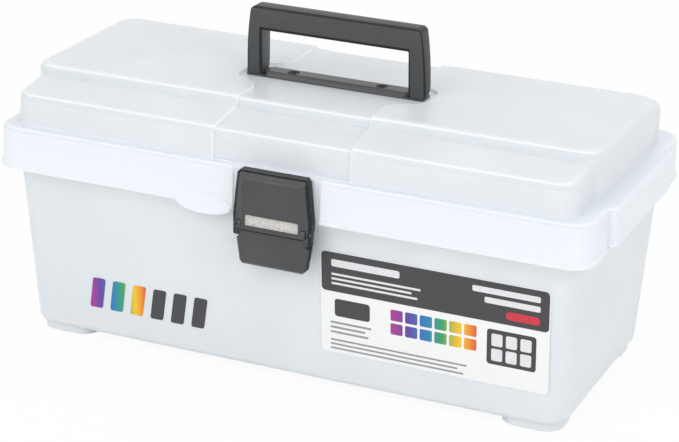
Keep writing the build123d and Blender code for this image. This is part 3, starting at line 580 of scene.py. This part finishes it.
def frame_outline(foot_half, top_half, top, radius, post_steps, corner_steps, grip_steps):
    """Right half of an arch: up a post that leans in by a power of its height, round a quarter
    circle, and in to the middle. The left half is its mirror."""
    side = top_half - radius
    rise = np.linspace(0.0, 1.0, post_steps)
    straight_top = top - radius
    post = np.stack([foot_half + (top_half - foot_half) * rise ** POST_BOW,
                     FOOT_Z + (straight_top - FOOT_Z) * rise], axis=1)
    turn = np.linspace(0.0, np.pi / 2, corner_steps + 1)[1:]
    corner = np.stack([side + radius * np.cos(turn), straight_top + radius * np.sin(turn)], axis=1)
    across = np.linspace(side, 0.0, grip_steps + 1)[1:]
    grip = np.stack([across, np.full(grip_steps, top)], axis=1)
    right = np.concatenate([post, corner, grip])
    return np.concatenate([right, right[-2::-1] * [-1.0, 1.0]])


STATIONS = (30, 12, 24)
outer = frame_outline(FOOT_HALF, TOP_HALF, HANDLE_TOP, OUTER_ROUND, *STATIONS)
inner = frame_outline(OPENING_HALF, OPENING_HALF, OPENING_TOP, INNER_ROUND, *STATIONS)
ridge = frame_outline(OPENING_HALF + RIDGE * (FOOT_HALF - OPENING_HALF),
                      OPENING_HALF + RIDGE * (TOP_HALF - OPENING_HALF),
                      OPENING_TOP + RIDGE * (HANDLE_TOP - OPENING_TOP), RIDGE_ROUND, *STATIONS)
print("handle stations:", len(outer))

# %% [markdown]
# The section is a list of points, each with its place across the frame, 0 at the opening and 1
# outside, and its depth, 0 at the front and 1 at the back. One round of corner cutting softens it.

# %% Carry the section round the frame
HANDLE_SECTION = np.array([
    [0.00, 0.12], [0.00, 0.94], [0.03, 1.00], [0.90, 1.00], [1.00, 0.93], [1.00, 0.20], [0.98, 0.16],
    [0.88, 0.12], [0.20, 0.00], [0.17, 0.01],
])
INNER_RIM, INNER_RIM_DEPTH, OUTER_RIM = 0.17, 0.14, 0.86


def handle_depths(z):
    """Front and back of the handle at a height: the front leans forward with height, and the back is
    a circle about the pivot below it and leans in above it."""
    rise = np.clip((z - FOOT_Z) / (HANDLE_TOP - FOOT_Z), 0.0, 1.0)
    front = HANDLE_Y - FOOT_RADIUS - FRONT_LEAN * rise
    below = np.clip(PIVOT_Z - z, 0.0, FOOT_RADIUS)
    round_back = HANDLE_Y + np.sqrt(FOOT_RADIUS ** 2 - below ** 2)
    return front, round_back - BACK_LEAN * rise


def handle_surface(across, depth):
    """Station by section: x and z run from the inner outline by way of the ridge to the outer one by
    the first section number, and y runs from the front to the back by the second."""
    to_ridge = np.clip(across / RIDGE, 0.0, 1.0)[None, :, None]
    beyond = np.clip((across - RIDGE) / (1.0 - RIDGE), 0.0, 1.0)[None, :, None]
    place = inner[:, None] + (ridge - inner)[:, None] * to_ridge + (outer - ridge)[:, None] * beyond
    front, back = handle_depths(place[..., 1])
    y = front + (back - front) * depth[None, :]
    return np.stack([place[..., 0], y, place[..., 1]], axis=-1) * MM


def paint_shade_on_rim(piece, is_rim):
    """Gives a second, darker finish, painted shade, to the faces where the mask is true. Caps come after
    the mask's faces and keep the first finish."""
    piece.data.materials.append(rim_painted_shade)
    index = np.zeros(len(piece.data.polygons), np.int32)
    index[:len(is_rim)] = is_rim
    piece.data.polygons.foreach_set("material_index", index)


section = cut_corners(HANDLE_SECTION)
handle_points = handle_surface(section[:, 0], section[:, 1])
rows, columns = handle_points.shape[:2]
first_end = np.arange(columns)[::-1]
last_end = (rows - 1) * columns + np.arange(columns)
handle_bail = grid_piece("handle_bail_moulding", handle_points, charcoal, close_columns=True,
                         caps=(first_end.tolist(), last_end.tolist()))
middle = 0.5 * (section + np.roll(section, -1, axis=0))
# Faces that get painted shade: the outer side and the lower front bevel of the opening.
rim = (middle[:, 0] > OUTER_RIM) | ((middle[:, 0] < INNER_RIM) & (middle[:, 1] < INNER_RIM_DEPTH))
paint_shade_on_rim(handle_bail, np.tile(rim, rows - 1))
shade(handle_bail)
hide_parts("handle_bail")
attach(handle_bail, "handle")
print("handle faces:", len(handle_bail.data.polygons))

# %% [markdown]
# ## The draw latch
#
# The latch is two moulded shells: a hook plate that holds the lid down, and a lever below it. Both
# are hollow behind, as all such mouldings are, so each is made as an open skin and then given its
# wall with a Solidify modifier. The skin is a grid: columns run from one side wall across the front
# to the other, rows run up the front and then back along the top wall. Cells in the window and in
# the two slots for the lever's cheeks are left out.

# %% Lay out a skin
GRID_MM = 0.6
WALL_STEPS = 7


def middles(values):
    """The middle between each number and the next."""
    return 0.5 * (values[1:] + values[:-1])


def skin_columns(stops):
    """Columns of a skin: forward along the left wall, across the front, back along the right wall.
    Gives each column's x and its share of the way back, and the stops are half of the front's."""
    half = spaced(stops, GRID_MM)
    front = np.concatenate([-half[:0:-1], half])
    x = np.concatenate([np.full(WALL_STEPS, -half[-1]), front, np.full(WALL_STEPS, half[-1])])
    back = np.linspace(0.0, 1.0, WALL_STEPS + 1)[1:]
    return x, np.concatenate([back[::-1], np.zeros(len(front)), back])


print("columns on each wall of the latch:", WALL_STEPS)

# %% Latch measurements
PIVOT = np.array([-98.1, 115.5])
LINK = np.array([-102.7, 112.6])
LATCH_BACK_Y = -97.1
FACE_Y, FACE_HALF, FACE_MIDDLE_Z = -106.5, 19.8, 131.0
PILLOW_DEPTH, PILLOW_RISE, PILLOW_MOST = 0.35, 14.0, 0.7
SIDE_BEVEL, TOP_BEVEL, NARROWEST_BEVEL = 2.6, 4.6, 0.1
RIM_HEIGHT, RIM_FROM = 1.5, 24.4
HOOK_TOP, HOOK_CORNER_Z, HOOK_WIDEST_Z, SILL_Z, TAB_LOW = 148.1, 146.2, 119.0, 109.7, 105.0
HOOK_HALF = 27.0
HOOK_HALVES = (26.8, HOOK_HALF, 24.2, 22.4)
HOOK_BACKS = (-100.6, -99.5, -98.35, -98.35)
WINDOW_HALF, WINDOW_LOW, WINDOW_HIGH = 18.6, 112.0, 119.9
SLOT_INNER, SLOT_OUTER, SLOT_TOP = 20.2, 23.5, 115.8
KNUCKLE_HALF, KNUCKLE_PROUD, KNUCKLE_END, KNUCKLE_BLEND = 2.7, 3.2, 26.3, 0.7
print("latch from", TAB_LOW, "to", HOOK_TOP, "mm high")

# %% [markdown]
# The hook plate's front is a depth for each x and height: a slightly pillowed face with broad bevels
# at its sides and top, and a knuckle over each pin. Its rim and walls get the darker finish of
# painted shade.

# %% The hook plate
TOP_STEPS = 9
BLEND_RISE = 4.0


def back_of_hook(z):
    """How far back the side walls reach: full depth above the slots, drawing in down the arms."""
    return np.interp(z, [TAB_LOW, LINK[1], SLOT_TOP, HOOK_TOP], HOOK_BACKS)


def hook_front(x, z, half):
    """Depth of the front: a face that is pillowed by the squares of x and of height from its middle,
    side bevels that grow from the face's edge to the outline, a bevel along the top, and a round
    knuckle over each hinge pin in the arms."""
    side = np.clip((np.abs(x) - FACE_HALF) / np.maximum(half - FACE_HALF, NARROWEST_BEVEL), 0.0, 1.0)
    crown = np.clip((z - (HOOK_TOP - TOP_BEVEL)) / (TOP_BEVEL - RIM_HEIGHT), 0.0, 1.0)
    pillow = PILLOW_DEPTH * ((x / FACE_HALF) ** 2 + ((z - FACE_MIDDLE_Z) / PILLOW_RISE) ** 2)
    plate = FACE_Y + np.clip(pillow, 0.0, PILLOW_MOST) + SIDE_BEVEL * np.maximum(side, crown)
    reach = np.clip(1.0 - ((z - LINK[1]) / KNUCKLE_HALF) ** 2, 0.0, 1.0)
    wide = np.clip(np.minimum(np.abs(x) - SLOT_OUTER, KNUCKLE_END - np.abs(x)) / KNUCKLE_BLEND, 0.0, 1.0)
    knuckle = LINK[0] - KNUCKLE_PROUD * np.sqrt(reach)
    return np.where(wide * reach > 0, np.minimum(plate, plate + (knuckle - plate) * wide), plate)


def hook_cells(column_x, column_back, row_z, row_back):
    """Which cells stay: all but the window, the slots, the gap below the sill and the grid's corners
    where a side wall would meet the top wall twice. Which are rim and get painted shade: the walls,
    the top of the front and its outer sides."""
    x, z = np.abs(middles(column_x))[None, :], middles(row_z)[:, None]
    on_side, on_top = middles(column_back)[None, :] > 0, middles(row_back)[:, None] > 0
    on_front = ~on_side & ~on_top
    window = (x < WINDOW_HALF) & (z > WINDOW_LOW) & (z < WINDOW_HIGH)
    slots = (x > SLOT_INNER) & (x < SLOT_OUTER) & (z < SLOT_TOP)
    below = (x < SLOT_OUTER) & (z < SILL_Z)
    stays = ~((on_side & on_top) | (on_front & (window | slots | below)))
    return stays, ~on_front | (z > HOOK_TOP - RIM_HEIGHT) | (x > RIM_FROM)


def hook_grid():
    """Columns go across, rows go z up the front and then back along the top wall. The front is as
    wide as the outline at its height: below the window only the arms give way to it, and above it
    every column does, with a blend between."""
    column_x, column_back = skin_columns([0, WINDOW_HALF, FACE_HALF, SLOT_INNER, SLOT_OUTER, HOOK_HALF])
    z_front = spaced([TAB_LOW, SILL_Z, WINDOW_LOW, SLOT_TOP, WINDOW_HIGH, HOOK_TOP - TOP_BEVEL,
                      HOOK_TOP - RIM_HEIGHT, HOOK_TOP], GRID_MM)
    row_z = np.concatenate([z_front, np.full(TOP_STEPS, HOOK_TOP)])
    row_back = np.concatenate([np.zeros(len(z_front)), np.linspace(0, 1, TOP_STEPS + 1)[1:]])
    across, z = np.meshgrid(column_x, row_z)
    half = np.interp(z, [TAB_LOW, HOOK_WIDEST_Z, HOOK_CORNER_Z, HOOK_TOP], HOOK_HALVES)
    past_slot = (np.abs(across) - SLOT_OUTER) * (half - SLOT_OUTER) / (HOOK_HALF - SLOT_OUTER)
    lower = np.where(np.abs(across) > SLOT_OUTER, np.sign(across) * (SLOT_OUTER + past_slot), across)
    blend = np.clip((z - WINDOW_HIGH) / BLEND_RISE, 0.0, 1.0)
    x = lower * (1 - blend) + across * half / HOOK_HALF * blend
    front = hook_front(x, z, half)
    y = front + column_back[None, :] * (np.maximum(back_of_hook(z), front) - front)
    y = y + row_back[:, None] * (LATCH_BACK_Y - y)
    stays, is_rim = hook_cells(column_x, column_back, row_z, row_back)
    return np.stack([x, y, z], axis=-1) * MM, stays, is_rim


hook_points, hook_stays, hook_rim = hook_grid()
latch_hook = grid_piece("latch_hook_moulding", hook_points, charcoal, hook_stays)
paint_shade_on_rim(latch_hook, hook_rim[hook_stays])
print("hook skin faces:", len(latch_hook.data.polygons))

# %% [markdown]
# The skin becomes a moulding in two steps: a Solidify modifier gives it the wall that plastic needs,
# and a Bevel modifier the small rounding that every edge of a mould leaves.

# %% Give the hook its wall
SKIN_WALL, SOFT_EDGE = 2.4, 0.25
SOFT_FROM, SHELL_ANGLE = np.radians([40.0, 60.0])


def finish_shell(piece):
    """A wall added inwards, then a small rounding on every sharp edge, then flat faces kept flat."""
    solid = piece.modifiers.new("wall", "SOLIDIFY")
    solid.thickness = SKIN_WALL * MM
    solid.offset = -1.0
    solid.use_even_offset = True
    edges = piece.modifiers.new("soft_edges", "BEVEL")
    edges.width = SOFT_EDGE * MM
    edges.segments = 2
    edges.limit_method = "ANGLE"
    edges.angle_limit = SOFT_FROM
    shade(piece, SHELL_ANGLE)


finish_shell(latch_hook)
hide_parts("latch_hook")
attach(latch_hook, "hook")
print("hook modifiers:", [modifier.name for modifier in latch_hook.modifiers])

# %% [markdown]
# The lever is the same kind of skin, upside down: its rows come forward along the wall at its end
# and then run up the paddle. It narrows above two shoulders to pass between the hook's arms.

# %% The lever
LEVER_Y = -104.0
LEVER_END, LEVER_TOP, SHOULDER_LOW, SHOULDER_HIGH = 85.5, 108.2, 102.5, 104.0
LEVER_FLAT, PADDLE_HALF, LEVER_BEVEL, END_CORNER = 20.0, 25.0, 1.6, 1.8
LEVER_HALVES = (20.7, 22.7, PADDLE_HALF, 23.1, 23.1)
LEVER_ROW_MM, END_STEPS = 0.5, 7


def lever_grid():
    """The paddle has a bevel along both sides and its end: the front goes back by the bevel's depth
    times the larger of two ramps. All that is not its front is rim, which gets painted shade."""
    column_x, column_back = skin_columns([0, LEVER_FLAT, PADDLE_HALF])
    heights = [LEVER_END, LEVER_END + END_CORNER, SHOULDER_LOW, SHOULDER_HIGH, LEVER_TOP]
    z_front = spaced(heights, LEVER_ROW_MM)
    row_z = np.concatenate([np.full(END_STEPS, LEVER_END), z_front])
    row_back = np.concatenate([np.linspace(1, 0, END_STEPS + 1)[:-1], np.zeros(len(z_front))])
    across, z = np.meshgrid(column_x, row_z)
    half = np.interp(z, heights, LEVER_HALVES)
    x = across / PADDLE_HALF * half
    side = np.clip((np.abs(x) - (half - LEVER_BEVEL)) / LEVER_BEVEL, 0.0, 1.0)
    end = np.clip((LEVER_END + LEVER_BEVEL - z) / LEVER_BEVEL, 0.0, 1.0)
    front = LEVER_Y + LEVER_BEVEL * np.maximum(side, end)
    y = front + np.maximum(column_back[None, :], row_back[:, None]) * (LATCH_BACK_Y - front)
    on_side, on_end = middles(column_back)[None, :] > 0, middles(row_back)[:, None] > 0
    return np.stack([x, y, z], axis=-1) * MM, ~(on_side & on_end), on_side | on_end


lever_points, lever_stays, lever_rim = lever_grid()
latch_lever = grid_piece("latch_lever_moulding", lever_points, charcoal, lever_stays)
paint_shade_on_rim(latch_lever, lever_rim[lever_stays])
finish_shell(latch_lever)
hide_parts("latch_lever")
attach(latch_lever, "lever")
print("lever faces:", len(latch_lever.data.polygons))

# %% [markdown]
# Two cheeks carry the lever. Each is a flat plate whose outline wraps round the pivot pin and the
# hook's pin like a belt round two pulleys, and whose foot is moulded on to the paddle.

# %% The lever's cheeks
CHEEK_RADIUS, KNUCKLE_RADIUS, CHEEK_INNER, CHEEK_OUTER = 2.75, 3.2, 20.55, 23.1
CHEEK_FOOT = np.array([[-103.4, 108.0], [-103.4, 101.4], [-97.2, 101.4], [-98.6, 108.0]])
NEAR_TURN = np.radians(np.linspace(-90.0, 90.0, 13))
FAR_TURN = np.radians(np.linspace(90.0, 207.0, 9))


def cheek_outline():
    """Arc round the pivot, arc round the hook's pin, then down to the paddle, as (y, z) in order."""
    across = PIVOT - LINK
    heading = np.arctan2(across[1], across[0])
    near, far = heading + NEAR_TURN, heading + FAR_TURN
    round_pivot = PIVOT + CHEEK_RADIUS * np.stack([np.cos(near), np.sin(near)], axis=1)
    round_link = LINK + KNUCKLE_RADIUS * np.stack([np.cos(far), np.sin(far)], axis=1)
    return np.concatenate([round_pivot, round_link, CHEEK_FOOT])


def flat_plate(name, outline, low_x, high_x, material):
    """A flat plate: the same outline at two places along X, joined by a band and closed at both."""
    x = np.array([low_x, high_x])[:, None] + 0 * outline[None, :, 0]
    y, z = outline[None, :, 0] + 0 * x, outline[None, :, 1] + 0 * x
    points = np.stack([x, y, z], axis=-1) * MM
    count = len(outline)
    caps = (np.arange(count)[::-1].tolist(), (np.arange(count) + count).tolist())
    return grid_piece(name, points, material, close_columns=True, caps=caps)


def recalculate(piece):
    """Turns every face of a closed mesh outwards."""
    work = bmesh.new()
    work.from_mesh(piece.data)
    bmesh.ops.recalc_face_normals(work, faces=work.faces)
    work.to_mesh(piece.data)
    work.free()


for hand, low, high in (("left", -CHEEK_OUTER, -CHEEK_INNER), ("right", CHEEK_INNER, CHEEK_OUTER)):
    cheek = flat_plate(f"latch_cheek_{hand}", cheek_outline(), low, high, charcoal)
    recalculate(cheek)
    shade(cheek, weighted=False)
    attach(cheek, "lever")
print("cheeks are in place")

# %% [markdown]
# Behind the window a pale rail shows: it is the front of the tub's bracket, which the lever turns
# on. Its white plastic is drawn warm grey, painted shade. It is a part of a tube round the pivot, so
# it is an arc carried along X.

# %% The rail behind the window
RAIL_RADIUS, RAIL_HALF, RAIL_THICK = 3.32, 20.1, 0.1
RAIL_TURN = np.radians(np.linspace(-70.0, 70.0, 25))


def rail_grid():
    """Arc about the pivot from 70 degrees below straight ahead to 70 above, at every x."""
    x = np.linspace(-RAIL_HALF, RAIL_HALF, 41)[:, None]
    y = PIVOT[0] - RAIL_RADIUS * np.cos(RAIL_TURN)[None, :] + 0 * x
    z = PIVOT[1] + RAIL_RADIUS * np.sin(RAIL_TURN)[None, :] + 0 * x
    return np.stack([x + 0 * y, y, z], axis=-1) * MM


rail = grid_piece("latch_window_rail", rail_grid(), window_plastic_in_painted_shade)
thin = rail.modifiers.new("wall", "SOLIDIFY")
thin.thickness = RAIL_THICK * MM
thin.offset = 0.0
shade(rail, weighted=False)
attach(rail, "tub")
print("rail faces:", len(rail.data.polygons))

# %% [markdown]
# Just behind the hook's skin, a pale insert closes the window, in the same warm grey of painted
# shade. It has fine ribs along its length, so it is a flat sheet whose depth follows a wave in z.

# %% The insert in the window
INSERT_HALF, INSERT_LOW, INSERT_HIGH, INSERT_Y = 19.0, 111.8, 120.2, -104.0
RIB_PITCH, RIB_DEPTH, INSERT_THICK = 1.3, 0.12, 0.3


def insert_grid():
    """Flat in x and z, with the depth a cosine of z whose period is the rib pitch."""
    x = np.linspace(-INSERT_HALF, INSERT_HALF, 31)[:, None]
    z = np.linspace(INSERT_LOW, INSERT_HIGH, 61)[None, :]
    y = INSERT_Y + RIB_DEPTH * np.cos(2 * np.pi * (z - INSERT_LOW) / RIB_PITCH) + 0 * x
    return np.stack([x + 0 * z, y, z + 0 * x], axis=-1) * MM


insert = grid_piece("latch_window_insert", insert_grid(), window_plastic_in_painted_shade)
wall = insert.modifiers.new("wall", "SOLIDIFY")
wall.thickness = INSERT_THICK * MM
shade(insert, weighted=False)
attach(insert, "hook")
print("insert faces:", len(insert.data.polygons))

# %% [markdown]
# ## Printing
#
# The label is a white film with a charcoal band across its top. Plain bars, a badge and rows of
# paint-pan squares are printed on it, and a row of slanted strokes in the same colours is printed
# on the tub. Ink is thin, so each shape is a very thin slab laid on the sloping front wall.

# %% Lay flat shapes on the front wall
WALL_FOOT_Y, WALL_FOOT_Z, WALL_SLOPE = -81.1, 4.5, 9.2 / 114.5
LABEL_LIFT, INK, SUNK = 0.25, 0.06, 0.01
QUARTER = 5


def wall_y(z, lift):
    """The front wall's depth at a height, moved out by a lift."""
    return WALL_FOOT_Y - WALL_SLOPE * (z - WALL_FOOT_Z) - lift * np.sqrt(1 + WALL_SLOPE ** 2)


def patch_outlines(patches, slant):
    """The x and z round each patch: each corner is a quarter circle of a few points, and x moves by
    the slant times the height in the patch."""
    left, right, low, high, corner = np.array(patches, float).T[:, :, None]
    turn = np.radians(np.concatenate([np.linspace(a, a + 90, QUARTER) for a in (0, 90, 180, 270)]))
    at_right = np.repeat([True, False, False, True], QUARTER)[None, :]
    at_top = np.repeat([True, True, False, False], QUARTER)[None, :]
    z = np.where(at_top, high - corner, low + corner) + corner * np.sin(turn)[None, :]
    x = np.where(at_right, right - corner, left + corner) + corner * np.cos(turn)[None, :]
    return x + slant * (z - low), z


def prints(name, patches, material, lift, slant=0.0):
    """Thin slabs on the wall: each patch's outline at two depths, a band of faces between them, and
    a face that closes each end."""
    x, z = patch_outlines(patches, slant)
    points = np.stack([np.stack([x, wall_y(z, lift + d), z], axis=-1) for d in (-SUNK, INK)], axis=1)
    count, around = points.shape[0], points.shape[2]
    band = grid_faces(2, around, close_columns=True)
    shift = 2 * around * np.arange(count)[:, None, None]
    sides = (band[None] + shift).reshape(-1, 4).tolist()
    front = (np.arange(around)[None, :] + around + shift[:, :, 0]).tolist()
    back = (np.arange(around)[::-1][None, :] + shift[:, :, 0]).tolist()
    mesh = bpy.data.meshes.new(name)
    mesh.from_pydata((points.reshape(-1, 3) * MM).tolist(), [], sides + front + back)
    piece = link(name, mesh, material)
    recalculate(piece)
    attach(piece, "tub")
    print(name, "patches:", count)


def row_of(count, left, pitch, width, low, high, corner):
    """A row of equal patches: left edges are a start plus whole numbers of pitches."""
    start = left + pitch * np.arange(count)
    fixed = np.array([low, high, corner]) + np.zeros((count, 1))
    return np.concatenate([start[:, None], start[:, None] + width, fixed], axis=1)


print("print helpers ready")

# %% [markdown]
# Each patch is a row of five numbers in millimetres: left, right, low, high and corner radius. The
# bars are as long and as thick as the lines of small print that a label usually carries.

# %% Print the label
BAND = [[27.2, 177.8, 71.0, 98.3, 2.8]]
BAND_BARS = [[34, 80, 88.5, 93.5, 1.2], [34, 94, 82.5, 84.0, 0.5], [34, 88, 79.3, 80.8, 0.5],
             [34, 92, 76.1, 77.6, 0.5], [128, 172, 90.0, 94.0, 1.0], [136, 172, 83.5, 87.5, 1.0]]
BADGE = [[150, 172, 74.5, 80.0, 2.5]]
TEXT_BARS = [[33, 61, 48.6, 50.0, 0.5], [33, 57, 45.2, 46.6, 0.5], [33, 59, 41.8, 43.2, 0.5],
             [33, 125, 36.4, 37.6, 0.4], [33, 119, 33.4, 34.6, 0.4], [33, 123, 30.4, 31.6, 0.4]]
PAINT_PANS = [row_of(6, 74, 9.8, 8.2, low, low + 7.8, 1.0) for low in (58.4, 48.8)]
PAN_TRAY = [[138, 170, 42.0, 66.2, 2.0], [36, 60, 54.0, 66.2, 2.0]]
TRAY_WELLS = [row_of(3, 141, 9.4, 7.2, low, high, 1.2) for low, high in ((54.8, 63.4), (44.6, 53.0))]

prints("label_band", BAND, charcoal_ink, LABEL_LIFT)
prints("label_band_bars", BAND_BARS, pale_ink, LABEL_LIFT + INK)
prints("label_badge", BADGE, red_ink, LABEL_LIFT + INK)
prints("label_text_bars", TEXT_BARS, grey_ink, LABEL_LIFT)
prints("label_paint_pans", np.concatenate(PAINT_PANS), label_ink, LABEL_LIFT)
prints("label_pan_tray", PAN_TRAY, charcoal_ink, LABEL_LIFT)
prints("label_tray_wells", np.concatenate(TRAY_WELLS), pale_ink, LABEL_LIFT + INK)

# %% [markdown]
# The strokes on the tub lean to the right, three in a run of bright colours and three in charcoal.

# %% Print the tub's front
STROKE_SLANT = 0.16
STROKES = {"front_strokes_bright": (-142, front_ink), "front_strokes_dark": (-97, charcoal_ink)}
for name, (left, ink) in STROKES.items():
    prints(name, row_of(3, left, 15.0, 9.5, 25, 47, 1.6), ink, 0.0, STROKE_SLANT)

# %% [markdown]
# ## The studio
#
# A plain pale sweep of paper and soft light from all round, with a large soft lamp above the front
# left, a weaker one at the front right and a weak one high up behind. The photograph's background
# is pure white, so to the camera the paper shows nearly all plain white and only a little of its
# lit self, which keeps a faint shadow under the box.

# %% Floor, world and lamps
WORLD_STRENGTH = 0.76
FLOOR_SHOWN, FLOOR_HALF, FLOOR_DROP = 0.93, 6.0, 0.2


def is_seen(tree):
    """One where a ray comes straight from the camera, or by way of gloss or glass."""
    path = add_node(tree, "ShaderNodeLightPath")
    either = add_node(tree, "ShaderNodeMath", {"operation": "MAXIMUM"}, {
        0: path.outputs["Is Camera Ray"], 1: path.outputs["Is Glossy Ray"]})
    return add_node(tree, "ShaderNodeMath", {"operation": "MAXIMUM"}, {
        0: either.outputs[0], 1: path.outputs["Is Transmission Ray"]}).outputs[0]


def studio_world():
    """A white world: strength one where it is seen, and the lighting strength elsewhere."""
    world = bpy.data.worlds.new("soft_studio")
    world.use_nodes = True
    tree = world.node_tree
    background = tree.nodes["Background"]
    background.inputs["Color"].default_value = (1.0, 1.0, 1.0, 1.0)
    level = add_node(tree, "ShaderNodeMapRange", {"To Min": WORLD_STRENGTH, "To Max": 1.0},
                     {"Value": is_seen(tree)})
    tree.links.new(level.outputs["Result"], background.inputs["Strength"])
    bpy.context.scene.world = world


def paper_floor():
    """A large sheet just under z = 0: matt white paper, mixed with plain white where it is seen."""
    material = bpy.data.materials.new("white_studio_paper")
    material.use_nodes = True
    tree = material.node_tree
    paper = tree.nodes["Principled BSDF"]
    paper.inputs["Base Color"].default_value = linear("#F4F4F4")
    paper.inputs["Roughness"].default_value = 0.9
    glow = add_node(tree, "ShaderNodeEmission", {"Strength": 1.0})
    share = add_node(tree, "ShaderNodeMath", {"operation": "MULTIPLY", 1: FLOOR_SHOWN}, {0: is_seen(tree)})
    shown = add_node(tree, "ShaderNodeMixShader", {}, {
        0: share.outputs[0], 1: paper.outputs[0], 2: glow.outputs[0]})
    tree.links.new(shown.outputs[0], tree.nodes["Material Output"].inputs["Surface"])
    ends = np.linspace(-FLOOR_HALF, FLOOR_HALF, 13)
    x, y = np.meshgrid(ends, ends)
    floor = grid_piece("studio_floor", np.stack([x, y, 0 * x - FLOOR_DROP * MM], axis=-1), material)


def soft_lamp(name, place, aim, size, power):
    """A square area lamp at a place, facing the point that it aims at."""
    data = bpy.data.lights.new(name, "AREA")
    data.shape, data.size, data.energy = "SQUARE", size, power
    lamp = bpy.data.objects.new(name, data)
    bpy.context.scene.collection.objects.link(lamp)
    back = np.array(place, float) - np.array(aim, float)
    back /= np.linalg.norm(back)
    right = np.cross([0.0, 0.0, 1.0], back)
    right /= np.linalg.norm(right)
    matrix = np.eye(4)
    matrix[:3, 0], matrix[:3, 1], matrix[:3, 2], matrix[:3, 3] = right, np.cross(back, right), back, place
    lamp.matrix_world = Matrix(matrix.tolist())


CENTRE = (0.0, 0.0, 0.1)
bpy.context.scene.view_settings.view_transform = "Standard"
studio_world()
paper_floor()
soft_lamp("key_above_front_left", (-0.5, -1.8, 1.25), CENTRE, 1.6, 12.5)
soft_lamp("fill_front_right", (1.6, -0.8, 1.0), CENTRE, 1.2, 7.0)
soft_lamp("top_from_behind", (0.3, 0.7, 1.7), CENTRE, 1.2, 4.0)
print("studio is lit")
